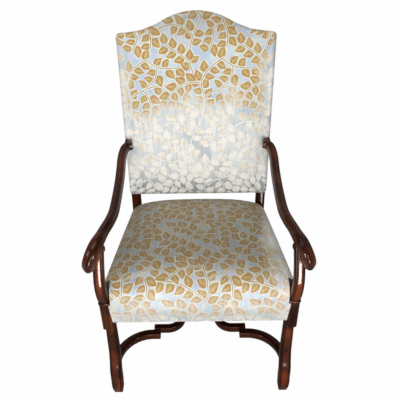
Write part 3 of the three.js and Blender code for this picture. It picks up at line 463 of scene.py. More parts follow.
arm = {
    "waistX": 0.258, "scroll": 0.030, "frontX": 0.288, "rearY": 0.508, "width": 0.029, "depth": 0.031,
    "crookWidth": 0.035, "crookDepth": 0.035, "drop": 0.082, "reach": 0.030, "outset": 0.030,
    "squareness": 2.8,
    "rear": [(-0.7, 0, 1), (-0.25, 0.002, 0.98), (0.12, 0.0256, 0.925), (0.3, 0.075, 0.81),
             (0.34, 0.154, 0.66), (0.24, 0.26, 0.47), (0.16, 0.384, 0.28), (0.09, 0.569, 0.094)],
    "front": [(0.11, 0.7), (0.3, 0.79), (0.57, 0.865), (0.86, 0.96)],
    "crook": [(0.05, 0.07, 0.02), (0.3, 0.67, 0.16), (0.58, 0.93, 0.4), (0.8, 0.8, 0.67),
              (0.9, 0.5, 0.88), (0.92, 0.3, 1)],
    "swell": [(0, 0), (0.7, 0), (0.74, 0.01), (0.86, 1), (0.93, 1), (1, 1)],
    "end": [(0, 1), (0.9, 1), (0.955, 1), (0.972, 0.965), (0.986, 0.84), (0.996, 0.58), (1, 0.36)],
}


def armMesh(grow=0.0):
    rear = [(arm["waistX"] + out * arm["scroll"], (1 - forward) * arm["rearY"],
             chair["armLow"] + high * chair["armRise"]) for out, forward, high in arm["rear"]]
    front = [(between(arm["waistX"], arm["frontX"], out), (1 - forward) * arm["rearY"], chair["armLow"])
             for out, forward in arm["front"]]
    crook = [(arm["frontX"] + out * arm["outset"], -forward * arm["reach"],
              chair["armLow"] - down * arm["drop"]) for out, forward, down in arm["crook"]]
    swell, end = tableOf(arm["swell"]), tableOf(arm["end"])

    def sizeAt(share):
        full = [between(*sizes, lookUp(swell, share)) / 2
                for sizes in ((arm["width"], arm["crookWidth"]), (arm["depth"], arm["crookDepth"]))]
        return [lookUp(end, share) * half for half in full]

    line = smoothLine([*rear, *front, *crook])
    return carved(line, (0, 1, 0), sizeAt, arm["squareness"], grow, 0.005)


support = {
    "lean": 0.030, "sway": 0.008, "width": 0.0345, "depth": 0.034, "rise": 0.2185, "squareness": 3,
    "line": [(0.75, -0.04, 0), (0.3, 0.134, 0.1), (0.1, 0.2725, 0.2), (0.1, 0.411, 0.2),
             (0.25, 0.527, 0.1), (0.45, 0.665, -0.1), (0.65, 0.79, -0.35), (0.85, 0.91, -0.55),
             (1, 1.03, -0.7)],
    "sizes": [(0, 0.95), (0.12, 1.04), (0.35, 0.98), (1, 0.92)],
    "curl": (0.2775, 0.027, 0.648), "curlSize": (0.0065, 0.0085, 0.0125),
}


def curlMesh():
    bm = bmesh.new()
    bmesh.ops.create_uvsphere(bm, u_segments=20, v_segments=12, radius=1)
    bmesh.ops.scale(bm, vec=support["curlSize"], verts=bm.verts)
    bmesh.ops.translate(bm, vec=toRow @ Vector(support["curl"]), verts=bm.verts)
    return meshFrom(bm)


def supportMesh():
    line = smoothLine([(chair["frontX"] + out * support["sway"], back * support["lean"],
                        chair["postTop"] + chair["fit"] + high * support["rise"])
                       for back, high, out in support["line"]])
    return carved(line, (1, 0, 0), sizedBy(support["sizes"], support["width"], support["depth"]),
                  support["squareness"])


def uprightFaceY(height):
    along = (height - chair["backZ"]) / math.cos(chair["rake"])
    return chair["backY"] + along * math.sin(chair["rake"])


armBlock = {"x": 0.256, "width": 0.021, "height": 0.026, "behindArm": 0.011, "drop": 0.003, "rim": 0.0015}


def blockMesh(grow=0.0):
    height = chair["armLow"] + chair["armRise"]
    front, rear = arm["rearY"] + armBlock["behindArm"], uprightFaceY(height)
    bm = blockOf((armBlock["width"] + 2 * grow, rear - front, armBlock["height"] + 2 * grow),
                 (armBlock["x"], (front + rear) / 2, height - armBlock["drop"]))
    if not grow:
        eased(bm, list(bm.edges), armBlock["rim"])
    return meshFrom(bm)


print("carving legs and arms")
fit = chair["fit"]
legMesh = cutOrJoined(frontLegMesh(), [postMesh(), footBlock(chair["frontX"], frontLeg["footY"])], "UNION")
pair("carved_front_leg", legMesh, uprightWood, "front_leg")
rearMesh = cutOrJoined(rearLegMesh(), [footBlock(rearLeg["footX"], rearLeg["footY"])], "UNION")
pair("carved_rear_leg", rearMesh, rearWood, "rear_leg")
pair("carved_arm", armMesh(), armWood, "arm")
supportShape = cutOrJoined(supportMesh(), [curlMesh()], "UNION")
supportShape = cutOrJoined(supportShape, [armMesh(fit), postMesh(fit)], "DIFFERENCE")
pair("carved_support", supportShape, uprightWood, "arm_support")
blockShape = cutOrJoined(blockMesh(), [armMesh(fit), rearLegMesh(fit)], "DIFFERENCE")
pair("shaped_arm_block", blockShape, armWood, "arm_block")


# stretcher of stepped scrolls, which all lie at one height
stretcher = {
    "height": 0.120, "depth": 0.030, "width": 0.029, "bracketWidth": 0.026, "barWidth": 0.030,
    "squareness": 4, "radius": 0.121, "rearRadius": 0.070, "endX": 0.148, "lineY": 0.1655, "middleY": 0.285,
    "legBackY": 0.0431, "rearX": 0.24536, "rearFaceY": 0.52184, "intoLeg": 0.0145,
    "bracketRadius": 0.054, "spineX": 0.068, "bracketEndX": 0.172, "bracketLineY": 0.193,
}


def arcOf(centre, radius, start, end, steps=14):
    angles = [math.radians(between(start, end, k / steps)) for k in range(steps + 1)]
    return [(centre[0] + radius * math.cos(a), centre[1] + radius * math.sin(a)) for a in angles]


def levelMember(plan, width):
    line = [Vector((x, y, stretcher["height"])) for x, y in plan]
    half = [stretcher["depth"] / 2, width / 2]
    return carved(line, (0, 0, 1), lambda share: half, stretcher["squareness"])


def behindMiddle(y):
    return 2 * stretcher["middleY"] - y


def stretcherPlans():
    s = stretcher
    arc = arcOf((chair["frontX"] - s["radius"], s["lineY"] - s["radius"]), s["radius"], 0, 90)
    front = [(chair["frontX"], s["legBackY"] - s["intoLeg"]), *arc, (s["endX"], s["lineY"])]
    rearY = behindMiddle(s["lineY"])
    arc = arcOf((s["rearX"] - s["rearRadius"], rearY + s["rearRadius"]), s["rearRadius"], 0, -90)
    rear = [(s["rearX"], s["rearFaceY"] + s["intoLeg"]), *arc, (s["endX"], rearY)]
    elbowX, elbowY = s["spineX"] + s["bracketRadius"], s["bracketLineY"] + s["bracketRadius"]
    bracket = [(s["bracketEndX"], s["bracketLineY"]), *arcOf((elbowX, elbowY), s["bracketRadius"], -90, -180),
               *arcOf((elbowX, behindMiddle(elbowY)), s["bracketRadius"], 180, 90),
               (s["bracketEndX"], behindMiddle(s["bracketLineY"]))]
    return front, rear, bracket


print("carving the stretcher")
frontPlan, rearPlan, bracketPlan = stretcherPlans()
for end, plan, leg in (("front", frontPlan, frontLegMesh(fit)), ("rear", rearPlan, rearLegMesh(fit))):
    scroll = cutOrJoined(levelMember(plan, stretcher["width"]), [leg], "DIFFERENCE")
    pair(f"carved_{end}_scroll", scroll, crossWood, f"{end}_scroll")
pair("carved_bracket", levelMember(bracketPlan, stretcher["bracketWidth"]), bracketWood, "bracket")
barHalf = stretcher["spineX"] - stretcher["bracketWidth"] / 2 - fit
barMesh = levelMember([(x, stretcher["middleY"]) for x in (-barHalf, 0, barHalf)], stretcher["barWidth"])
piece("carved_cross_bar", barMesh, crossWood, ["cross_bar"])


# woven fabric with a leafy sprig
cloth = {
    "ground": "cfdbdf", "blue": "b4c9e0", "lilac": "d2cbe3", "leaf": "bc883c", "leafLight": "b7a052",
    "hatch": "ecdcb4", "line": "f6f0dc", "stem": "8f8474", "silver": "d4d9d9", "pewter": "87929a",
    # silver and pewter: ground under painted sheen; white and straw: leaves and stems under painted sheen;
    # shade and the grey after it: painted shade, that grey also the yarn's darker slubs
    "white": "f8f6f0", "straw": "e2d4b8", "shade": "bdb9af", "shadeAndSlub": "8f8a7c", "gap": "6f6a60",
    "tile": (0.265, 0.335), "leafLength": 0.038, "leafWidth": 0.0129, "leafFoot": 0.12, "pitch": 0.033,
    "tilt": math.radians(53), "outline": 0.0034, "hairline": 0.0002, "streakHalf": 0.0034,
    "stemHalf": 0.0014, "barkHalf": 0.0042, "stemBend": 0.148, "drift": 0.014,
    "slub": (150, 16, 1), "threads": 560, "ribs": 700, "overlap": 5, "nearness": 0.0012,
    # each branch: which sprig carries it, how far along, turn in degrees, bend radius (+ left), length
    "branches": [(0, 0.25, 60, 0.185, 0.16), (0, 0.85, -35, -0.12, 0.13), (1, 0.85, 55, 0.08, 0.195),
                 (0, 0.6, -60, -0.24, 0.195), (3, 0.95, -60, 0.135, 0.12), (1, 0.35, 40, 0.55, 0.105),
                 (5, 0.3, -65, -0.08, 0.16), (8, 0.95, 70, -0.09, 0.075), (6, 0.35, -65, -0.08, 0.09),
                 (8, 0.7, 65, -0.12, 0.09), (0, 0.9, 50, 0.10, 0.13)],
}


class Sprig:  # a stem that bends evenly: its middle, heading there, bend radius and half length
    def __init__(self, middle, heading, bend, half):
        self.middle, self.heading, self.bend, self.half = middle, heading, bend, half
        self.ahead = (math.cos(heading), math.sin(heading))
        self.inward = [math.copysign(1, bend) * c for c in (-self.ahead[1], self.ahead[0])]
        self.bare = []  # leaves that would lie on others

    def at(self, run, off=0.0):
        size = abs(self.bend)
        turned = run / size
        return [m + i * size + (size - off) * (a * math.sin(turned) - i * math.cos(turned))
                for m, a, i in zip(self.middle, self.ahead, self.inward)]

    def branch(self, share, turn, bend, length):
        run = (share * 2 - 1) * self.half
        foot = Sprig(self.at(run), self.heading + run / self.bend + math.radians(turn), bend, 0)
        return Sprig(foot.at(length / 2), foot.heading + length / 2 / bend, bend, length / 2)

    def leaves(self):
        reach = int(self.half / cloth["pitch"]) + 1
        places = [2 * k + inner for k in range(-reach - 1, reach + 1) for inner in (0, 1)]
        return [leaf for leaf in places if abs(footOf(leaf)) < self.half]

    def leafUnder(self, point):
        gap = [(p - m + t / 2) % t - t / 2 for p, m, t in zip(point, self.middle, cloth["tile"])]
        forward, inward = [sum(g * d for g, d in zip(gap, way)) for way in (self.ahead, self.inward)]
        size, tilt, pitch = abs(self.bend), cloth["tilt"], cloth["pitch"]
        off = size - math.hypot(*(g - i * size for g, i in zip(gap, self.inward)))
        along = math.atan2(forward, size - inward) * size
        cell = (along - abs(off) / math.tan(tilt)) / pitch + (0.5 if off > 0 else 0)
        offAxis = (cell - math.floor(cell) - 0.5) * pitch * math.sin(tilt)
        share = (abs(off) + offAxis * math.cos(tilt)) / (math.sin(tilt) * cloth["leafLength"])
        share = share - cloth["leafFoot"]
        leaf = math.floor(cell) * 2 + (off > 0)
        if abs(footOf(leaf)) < self.half and 0 < share < 1:
            if abs(offAxis) < leafBreadth(share) + cloth["nearness"]:
                return leaf
        return None

    def spotsOn(self, leaf):
        tilt, inner = cloth["tilt"], leaf % 2
        for share in (0.12, 0.3, 0.5, 0.7, 0.88):
            for side in (-0.8, 0, 0.8):
                offAxis = side * leafBreadth(share)
                length = (share + cloth["leafFoot"]) * math.sin(tilt) * cloth["leafLength"]
                off = length - offAxis * math.cos(tilt)
                along = footOf(leaf) + off / math.tan(tilt) + offAxis / math.sin(tilt)
                yield self.at(along, off if inner else -off)


def footOf(leaf):
    return (leaf // 2 + 0.5 - 0.5 * (leaf % 2)) * cloth["pitch"]


def leafBreadth(share):  # half the width at a share of the length, for numbers and wires alike
    return share ** 0.55 * (1 - share) ** 0.95 * (2.75 * cloth["leafWidth"])


def sprigLayout():
    quarter, bend = cloth["tile"][1] / 4, cloth["stemBend"]
    sway, half = bend - math.sqrt(bend ** 2 - quarter ** 2), bend * math.asin(quarter / bend)
    sprigs = [Sprig((side * sway, step * quarter), math.pi / 2, side * bend, half)
              for side, step in ((1, 1), (-1, 3))]
    for carrier, *growth in cloth["branches"]:
        sprigs.append(sprigs[carrier].branch(*growth))
    shared = {}
    for k, sprig in enumerate(sprigs):
        for leaf in sprig.leaves():
            for spot in sprig.spotsOn(leaf):
                for other, found in ((j, other.leafUnder(spot)) for j, other in enumerate(sprigs)):
                    if found is not None and (other, found) != (k, leaf):
                        both = frozenset(((k, leaf), (other, found)))
                        shared[both] = shared.get(both, 0) + 1
    shared = {both: count for both, count in shared.items() if count >= cloth["overlap"]}
    while shared:  # the leaf that lies on most others goes first
        loads = {}
        for both, count in shared.items():
            for leaf in both:
                loads[leaf] = loads.get(leaf, 0) + count
        worst = max(sorted(loads), key=lambda leaf: loads[leaf])
        sprigs[worst[0]].bare.append(worst[1])
        shared = {both: count for both, count in shared.items() if worst not in both}
    return sprigs


def sprigMasks(paint, spot):  # leaves, pale lines, stems, the lighter halves of leaves, and their hatching
    tilt, pitch = cloth["tilt"], cloth["pitch"]
    halfTile = [size / 2 for size in cloth["tile"]]
    leaf, line, stem, tone, hatch = 0.0, 0.0, 0.0, 0.0, 0.0
    for sprig in sprigLayout():
        size, inwardX, inwardY = abs(sprig.bend), *sprig.inward
        local = paint.vectors("SUBTRACT", spot, (*sprig.middle, 0))
        local = paint.vectors("WRAP", local, (*halfTile, 1), (-halfTile[0], -halfTile[1], -1))
        forward = paint.vectors("DOT_PRODUCT", local, (*sprig.ahead, 0), output=1)
        inward = paint.vectors("DOT_PRODUCT", local, (inwardX, inwardY, 0), output=1)
        off = size - paint.vectors("DISTANCE", local, (inwardX * size, inwardY * size, 0), output=1)
        along = forward.to("ARCTAN2", size - inward) * size
        apart, side = abs(off), (off > 0) * 0.5
        onStem = abs(along) < sprig.half
        cell = (along - apart / math.tan(tilt)) / pitch + side
        offAxis = (cell.to("FRACT") - 0.5) * (pitch * math.sin(tilt))
        share = (apart + offAxis * math.cos(tilt)) / (math.sin(tilt) * cloth["leafLength"])
        share = share - cloth["leafFoot"]
        place = cell.to("FLOOR")
        inside = (share > 0) * (share < 1) * (abs((place + 0.5 - side) * pitch) < sprig.half)
        if sprig.bare:
            number = (place + side) * 2
            inside *= sum(number.to("COMPARE", bare, 0.5) for bare in sprig.bare) < 0.5
        share = share.to("MAXIMUM", 0.0).to("MINIMUM", 1.0)
        edge = abs(offAxis) - leafBreadth(share)
        covered = (edge < cloth["outline"]) * inside
        filled = (edge < -cloth["hairline"]) * inside
        bark = (apart < cloth["barkHalf"]) * onStem
        streak = (abs(offAxis) < cloth["streakHalf"]) * ((share * 9).to("FRACT") > 0.5)
        streak = streak * (share > 0.2) * (share < 0.75)
        beside, offBark = 1 - covered, 1 - bark
        leaf = (leaf * beside + filled) * offBark
        line = (line * beside + covered - filled) * offBark + bark
        tone = tone * beside + filled * (offAxis > 0)
        hatch = (hatch * beside + filled * streak) * offBark
        stem = stem * beside * offBark + (apart < cloth["stemHalf"]) * onStem
    return leaf, line, stem, tone, hatch


def wovenCloth(name, paintedLightOf):
    paint = Paint(name, Sheen_Weight=0.15, Sheen_Roughness=0.4, Specular_IOR_Level=0.3)
    flat = paint.node("ShaderNodeUVMap", {"uv_map": "cloth"})
    drift = paint.node("ShaderNodeTexNoise", {}, {"Vector": flat, "Scale": 9, "Detail": 1}, 1)
    drift = paint.vectors("SUBTRACT", drift, (0.5, 0.5, 0.5))
    spot = paint.vectors("MULTIPLY_ADD", drift, (cloth["drift"], cloth["drift"], 0), flat)
    leaf, line, stem, tone, hatch = sprigMasks(paint, spot)
    wash, tint, sweep = paint.noise(flat, 13, 3), paint.noise(flat, 30, 2, 0.6), paint.noise(flat, 6, 2, 0.4)
    # the three masks: painted sheen that pales the cloth, the grey that sheened ground takes on (painted
    # shade near the foot of the back, and random patches), and painted shade that dulls it
    paintedSheen, foot, paintedShade = paintedLightOf(paint, flat, sweep * 0.7 + wash * 0.3)
    ground = paint.mix(wash.clear(0.4, 0.65), cloth["ground"], cloth["blue"])
    ground = paint.mix(tint.clear(0.52, 0.7) * 0.7, ground, cloth["lilac"])
    # under painted sheen the ground turns silver, or pewter where it greys
    ground = paint.mix(paintedSheen, ground, paint.mix(foot, cloth["silver"], cloth["pewter"]))
    gold = paint.mix(tone * 0.35 + tint.clear(0.35, 0.6) * 0.5, cloth["leaf"], cloth["leafLight"])
    gold = paint.mix(hatch * 0.65, gold, cloth["hatch"])
    # under painted sheen the leaves turn white and straw
    sheenGold = paint.mix(tint.clear(0.45, 0.65) * (1 - foot) * 0.8, cloth["white"], cloth["straw"])
    gold = paint.mix(paintedSheen * 0.94, gold, sheenGold)
    # the pale lines fade under painted sheen
    shown = paint.mix(line * (1 - paintedSheen * 0.75), ground, cloth["line"])
    shown = paint.mix(leaf, shown, gold)
    # stems turn white under painted sheen; painted shade greys the cloth
    for amount, thread in ((stem * (1 - paintedSheen), "stem"), (stem * paintedSheen, "white"), (paintedShade * 0.3, "shadeAndSlub")):
        shown = paint.mix(amount, shown, cloth[thread])
    # painted shade darkens the whole cloth
    shown = paint.mix(paintedShade, shown, cloth["shade"], "MULTIPLY")
    slub = paint.noise(paint.vectors("MULTIPLY", flat, cloth["slub"]), 1, 3, 0.6)
    threads, ribs = paint.bands(flat, "Y", cloth["threads"], 0.4), paint.bands(flat, "X", cloth["ribs"], 0.3)
    # the yarn's own lighter and darker slubs, shown more strongly under painted sheen
    for amount, thread in ((slub.clear(0.42, 0.72) * (0.1 + paintedSheen * 0.3), "white"),
                           ((1 - slub.clear(0.3, 0.5)) * (0.12 + paintedSheen * 0.1), "shadeAndSlub"),
                           (threads * 0.1, "gap")):
        shown = paint.mix(amount, shown, cloth[thread])
    height = threads * 0.5 + ribs * 0.3 + leaf * 1.2 + line * 0.8
    return paint.feeds(Base_Color=shown, Roughness=0.42 + leaf * 0.14 + line * 0.1,
                       Normal=paint.bump(height, 0.4, 0.0002))


# where painted sheen pales the cloth, painted shade and random patches grey it, and painted shade dulls it,
# in metres on the flat cloth
backPaintedZones = {"low": (0.35, 0.48), "rims": (0.21, 0.28), "rimsTop": (0.5, 0.66), "foot": (0.09, 0.19),
             "top": (0.58, 0.74), "patches": (0.48, 0.6)}
seatPaintedZones = {"right": (0.2, 0.29), "hem": (-0.375, -0.33), "overHem": (-0.32, -0.26), "rear": (-0.3, -0.11)}


def backPaintedLight(paint, flat, wash):
    across, high = paint.split(flat)
    stray = wash - 0.5
    # painted sheen on the lower back and down its side rims
    low = 1 - (high + stray * 0.45).clear(*backPaintedZones["low"])
    rims = abs(across + stray * 0.12).clear(*backPaintedZones["rims"]) * (1 - high.clear(*backPaintedZones["rimsTop"]))
    # painted shade toward the foot of the back, just above the seat; random patches also grey it
    foot = 1 - (high + stray * 0.12).clear(*backPaintedZones["foot"])
    grey = (wash.clear(*backPaintedZones["patches"]) * 0.5).to("MAXIMUM", foot)
    # returns painted sheen, the grey mask, and painted shade along the top of the back
    return low.to("MAXIMUM", rims), grey, high.clear(*backPaintedZones["top"]) * 0.7


def seatPaintedLight(paint, flat, wash):
    across, front = paint.split(flat)
    stray = wash - 0.5
    # painted light on the right side of the seat, and on its front wall, a little less just above it
    right = (across + stray * 0.15).clear(*seatPaintedZones["right"])
    wavy = front + stray * 0.08
    hem = (1 - wavy.clear(*seatPaintedZones["hem"])).to("MAXIMUM", (1 - wavy.clear(*seatPaintedZones["overHem"])) * 0.35)
    # painted shade toward the rear of the seat, little on its right side
    paintedShade = (front + stray * 0.1).clear(*seatPaintedZones["rear"]) * (1 - right * 0.9)
    # returns painted light, a touch of grey on the front wall, and painted shade
    return hem.to("MAXIMUM", right * 0.65), hem * 0.1, paintedShade


print("weaving the cloth")
# the two cloths differ only in where painted sheen and painted shade lie
backCloth = wovenCloth("back cloth", backPaintedLight)
seatCloth = wovenCloth("seat cloth", seatPaintedLight)


# upholstered pieces: a grid for the face, then rings down its sides, under and inside
def lengthsOf(rings, start):
    travelled, total, last = [], 0.0, start
    for ring in rings:
        total += math.hypot(ring[0] - last[0], ring[1] - last[1])
        travelled.append(total)
        last = ring
    return travelled


def layFlat(bm, flat):
    uv = bm.loops.layers.uv.new("cloth")
    for face in bm.faces:
        for corner in face.loops:
            corner[uv].uv = corner.vert[flat][:2]


def upholstered(counts, crowd, faceAt, rings, ringAt, flatAt, start, heldFrom):
    bm = bmesh.new()
    plan = bm.verts.layers.float_vector.new("plan")
    flat = bm.verts.layers.float_vector.new("flat")
    held = bm.verts.layers.deform.new()
    sharp = bm.edges.layers.float.new("crease_edge")
    bmesh.ops.create_grid(bm, x_segments=counts[0], y_segments=counts[1], size=1)

    def crowded(c):
        return math.copysign(1 - (1 - min(abs(c), 1)) ** crowd, c)

    for vert in bm.verts:
        a, b = crowded(vert.co.x), crowded(vert.co.y)
        vert[plan] = (a, b, 0)
        vert[flat] = (*flatAt(a, b), 0)
        vert.co = faceAt(a, b)
    edges = [e for e in bm.edges if e.is_boundary]
    loops = []
    for k, (ring, travelled) in enumerate(zip(rings, lengthsOf(rings, start))):
        fresh, edges = extruded(bm, edges)
        loops.append(edges)
        for vert in fresh:
            a, b, _ = vert[plan]
            vert.co = ringAt(a, b, *ring)
            u, v = flatAt(a, b)
            out = [math.copysign(1, c) if abs(c) > 0.9999 else 0 for c in (a, b)]
            vert[flat] = (u + out[0] * travelled, v + out[1] * travelled, 0)
            if k >= heldFrom:
                vert[held][0] = 1.0
    bmesh.ops.edgeloop_fill(bm, edges=edges)
    for loop in loops[-4:]:
        for edge in loop:
            edge[sharp] = 1
    layFlat(bm, flat)
    return meshFrom(bm)


def puffed(mesh, pressure, cap, frames=20):
    worker = placed("worker", mesh)
    worker.vertex_groups.new(name="held")
    settings = worker.modifiers.new("puff", "CLOTH").settings
    settings.quality, settings.mass = 8, 0.3
    settings.tension_stiffness = settings.compression_stiffness = 40
    settings.shear_stiffness, settings.bending_stiffness = 20, 1.5
    settings.use_pressure, settings.uniform_pressure_force = True, pressure
    settings.effector_weights.gravity = 0
    settings.vertex_group_mass = "held"
    for step in range(1, frames + 1):
        scene.frame_set(step)
    swollen = worker.evaluated_get(bpy.context.evaluated_depsgraph_get()).data
    places = [(vert.co.copy(), vert.normal.copy(), moved.co.copy()) for vert, moved in
              zip(mesh.vertices, swollen.vertices)]
    for vert, (place, normal, moved) in zip(mesh.vertices, places):
        shift = moved - place
        shift -= normal * min(shift.dot(normal), 0)  # the padding keeps the cloth from sinking in
        vert.co = place + shift * min(1, cap / max(shift.length, 1e-9))
    bpy.data.objects.remove(worker)
    scene.frame_set(1)


def refined(mesh):
    worker = placed("worker", mesh)
    finer = worker.modifiers.new("finer", "SUBSURF")
    finer.levels = finer.render_levels = 1
    finer.use_limit_surface = False
    return finished(worker)


def tucked(mesh, tools, reach, depth, facing):
    trees = []
    for tool in tools:
        bm = bmesh.new()
        bm.from_mesh(tool)
        trees.append(BVHTree.FromBMesh(bm))
        bm.free()
    normals = [v.normal.copy() for v in mesh.vertices]
    for vert, normal in zip(mesh.vertices, normals):
        loose = (1 - sum(group.weight for group in vert.groups)) * max(normal.dot(facing), 0)
        near = min(tree.find_nearest(vert.co)[3] for tree in trees)
        if near < reach and loose > 0:
            vert.co -= normal * depth * loose * (1 - near / reach) ** 2
    return mesh


def cornered(x, y, centreX, centreY, way):  # draws a place in a corner in to the arc about its centre
    overX, overY = abs(x) - centreX, (y - centreY) * way
    if overX > 0 and overY > 0:
        pull = max(overX, overY) / math.hypot(overX, overY)
        x, y = math.copysign(centreX + overX * pull, x), centreY + way * overY * pull
    return x, y


seat = {
    "front": 0.0097, "rear": 0.5113, "halfWidth": 0.298849, "taper": 0.0944954, "taperFrom": 0.05,
    "edge": 0.130, "crown": 0.048, "crownWidth": 0.255, "corner": 0.016, "sag": 0.025, "sagStart": 0.58,
    "sagEnd": 0.92, "bulge": 0.008, "wave": 0.0013, "waveReach": 0.03, "counts": (44, 40), "crowd": 1.7,
    "spacing": 0.011, "pressure": 3, "cap": 0.006,
    "crownRows": [(0, 0), (0.035, 0.37), (0.1, 0.6), (0.2, 0.72), (0.38, 0.85), (0.62, 0.95), (0.84, 0.985),
                  (1, 1), (1.3, 1)],
    "wall": [(0.0, 1.0), (-0.6, 0.92), (-1, 0.72), (-1, 0.45), (-0.5, 0.2), (0, 0)],
    # under the rails and up inside: distance in from the edge, height
    "tuck": [(0.003, 0.0), (0.016, 0.0), (0.016, 0.002), (0.0021, 0.002), (0.0021, 0.0716)],
}
crownTable = tableOf(seat["crownRows"])


def seatHalf(y):
    return seat["halfWidth"] - seat["taper"] * (y - seat["taperFrom"])


def crownAt(inset):
    return lookUp(crownTable, max(inset, 0) / seat["crownWidth"])


crownSteps = 255
crownStep = seat["crownWidth"] / crownSteps
crownArc = [0.0]  # length over the crown from its inner edge out to each step
for k in range(crownSteps):
    inner, outer = [crownAt(seat["crownWidth"] - i * crownStep) for i in (k, k + 1)]
    crownArc.append(crownArc[-1] + math.hypot(crownStep, seat["crown"] * (inner - outer)))


def overCrown(inset):
    if inset >= seat["crownWidth"]:
        return seat["crownWidth"] - inset
    exact = (seat["crownWidth"] - inset) / crownStep
    k = min(int(exact), crownSteps - 1)
    return between(crownArc[k], crownArc[k + 1], exact - k)


def seatPlan(a, b, inset):
    y = between(seat["front"] + inset, seat["rear"] - inset, (b + 1) / 2)
    x = a * (seatHalf(y) - inset)
    radius = max(seat["corner"], inset)
    way = -1 if b < 0 else 1
    centreY = seat["front"] + radius if way < 0 else seat["rear"] - radius
    return cornered(x, y, seatHalf(centreY) - radius, centreY, way)


def seatSag(x, y, level):
    along = max((y - seat["front"]) / (seat["rear"] - seat["front"]), 0)
    raised = smoothStep(seat["sagStart"], seat["sagEnd"], level / seat["edge"])
    return seat["sag"] * raised * min(abs(x) / seatHalf(y), 1) ** 4 * along ** 1.5


def seatFace(a, b):
    x, y = seatPlan(a, b, 0)
    rise = crownAt(seatHalf(y) - abs(x)) * crownAt(min(y - seat["front"], seat["rear"] - y))
    z = chair["railsFoot"] + seat["edge"] + seat["crown"] * rise - seatSag(x, y, seat["edge"])
    return toRow @ Vector((x, y, z))


def seatRing(a, b, inset, level):
    x, y = seatPlan(a, b, inset)
    wave = seat["wave"] * (1 + math.sin(x * 74 + math.sin(x * 31)) * math.cos(y * 43)) * (inset < 0.002)
    lift = wave * (1 - smoothStep(0, seat["waveReach"], level))
    return toRow @ Vector((x, y, chair["railsFoot"] + level + lift - seatSag(x, y, level)))


def seatFlat(a, b):
    x, y = seatPlan(a, b, 0)
    inner = seatHalf(y) - seat["crownWidth"]
    u = math.copysign(inner + overCrown(seatHalf(y) - abs(x)), x)
    middle = (seat["front"] + seat["rear"]) / 2
    near = min(y - seat["front"], seat["rear"] - y)
    v = math.copysign((seat["rear"] - seat["front"]) / 2 - seat["crownWidth"] + overCrown(near), y - middle)
    return u, v


print("padding the seat")
wallLine = smoothLine([(i * seat["bulge"], h * seat["edge"], 0) for i, h in seat["wall"]])
wallRings = [(p.x, p.y) for p in evenly(wallLine, seat["spacing"])][1:]
seatRings = [*wallRings, *seat["tuck"]]
seatMesh = upholstered(seat["counts"], seat["crowd"], seatFace, seatRings, seatRing, seatFlat,
                       (0, seat["edge"]), len(wallRings) - 2)
puffed(seatMesh, seat["pressure"], seat["cap"])
seatMesh = refined(seatMesh)

notch = {"overPost": 0.0194, "rear": 0.0524, "drop": 0.0088, "size": 0.08}  # what the collar stands in


def notchMesh():
    size = notch["size"]
    low = (chair["frontX"] - notch["overPost"], notch["rear"] - size, chair["postTop"] - notch["drop"])
    return meshFrom(blockOf([size] * 3, [c + size / 2 for c in low]))


cut = chair["cut"]
postTool, uprightTool = cutOrJoined(postMesh(cut), [notchMesh()], "UNION"), rearLegMesh(cut)
seatTools = [postTool, mirrored(postTool), uprightTool, mirrored(uprightTool)]
seatMesh = cutOrJoined(tucked(seatMesh, seatTools, 0.010, 0.0030, Vector((0, 0, 1))), seatTools, "DIFFERENCE")
seatPiece = piece("padded_seat", seatMesh, seatCloth, ["seat_cover", "seat_pad"], 50)

back = {
    "front": 0.0366, "rear": 0.0193, "overUpright": 0.0196, "crown": 0.005, "crownWidth": 0.2, "round": 0.015,
    "corner": 0.014, "hump": 0.069, "humpRadius": 0.238, "counts": (44, 48), "crowd": 1.15,
    "pressure": 3, "cap": 0.005,
    # distance in from the edge and place forward of the frame's middle, down the side and then turned in
    "side": [(0, 0.012), (0, 0.001), (0, -0.010), (0, -0.0178), (0.0008, -0.0191)],
    "tuck": [(0.016, -0.0193), (0.016, -0.0173), (0.0021, -0.0173), (0.0021, 0.0197)],
}
humpTurn = math.acos(1 - back["hump"] / (2 * back["humpRadius"]))
humpMiddle = chair["panelTop"] + back["hump"] - back["humpRadius"]
hollowX, hollowZ = [2 * back["humpRadius"] * f(humpTurn) for f in (math.sin, math.cos)]
hollowZ += humpMiddle


def panelHalf(z):
    return uprightX(z) + back["overUpright"]


def panelTopAt(x, inset):
    x = abs(x)
    convex, hollow = back["humpRadius"] - inset, back["humpRadius"] + inset
    if x < convex * math.sin(humpTurn):
        return humpMiddle + math.sqrt(convex ** 2 - x ** 2)
    if x < hollowX:
        return hollowZ - math.sqrt(hollow ** 2 - (hollowX - x) ** 2)
    return chair["panelTop"] - inset


def backPlan(a, b, inset):
    z = between(chair["panelLow"], chair["panelTop"], (b + 1) / 2)
    for _ in range(3):
        x = a * (panelHalf(z) - inset)
        z = between(chair["panelLow"] + inset, panelTopAt(x, inset), (b + 1) / 2)
    radius = max(back["corner"], inset)
    way = 1 if b > 0 else -1
    centreZ = chair["panelTop"] - radius if way > 0 else chair["panelLow"] + radius
    return cornered(x, z, panelHalf(centreZ) - radius, centreZ, way)


def backFlat(a, b):
    return backPlan(a, b, back["round"])


def backFace(a, b):
    x, z = backFlat(a, b)
    bow = back["crown"]
    for edge in (panelHalf(z) - abs(x), z - chair["panelLow"], panelTopAt(x, 0) - z):
        bow *= 1 - (1 - min((edge - back["round"]) / back["crownWidth"], 1)) ** 2
    return toRow @ backPlace(x, -back["front"] - bow, z)


def backRing(a, b, inset, front):
    x, z = backPlan(a, b, inset)
    return toRow @ backPlace(x, -front, z)


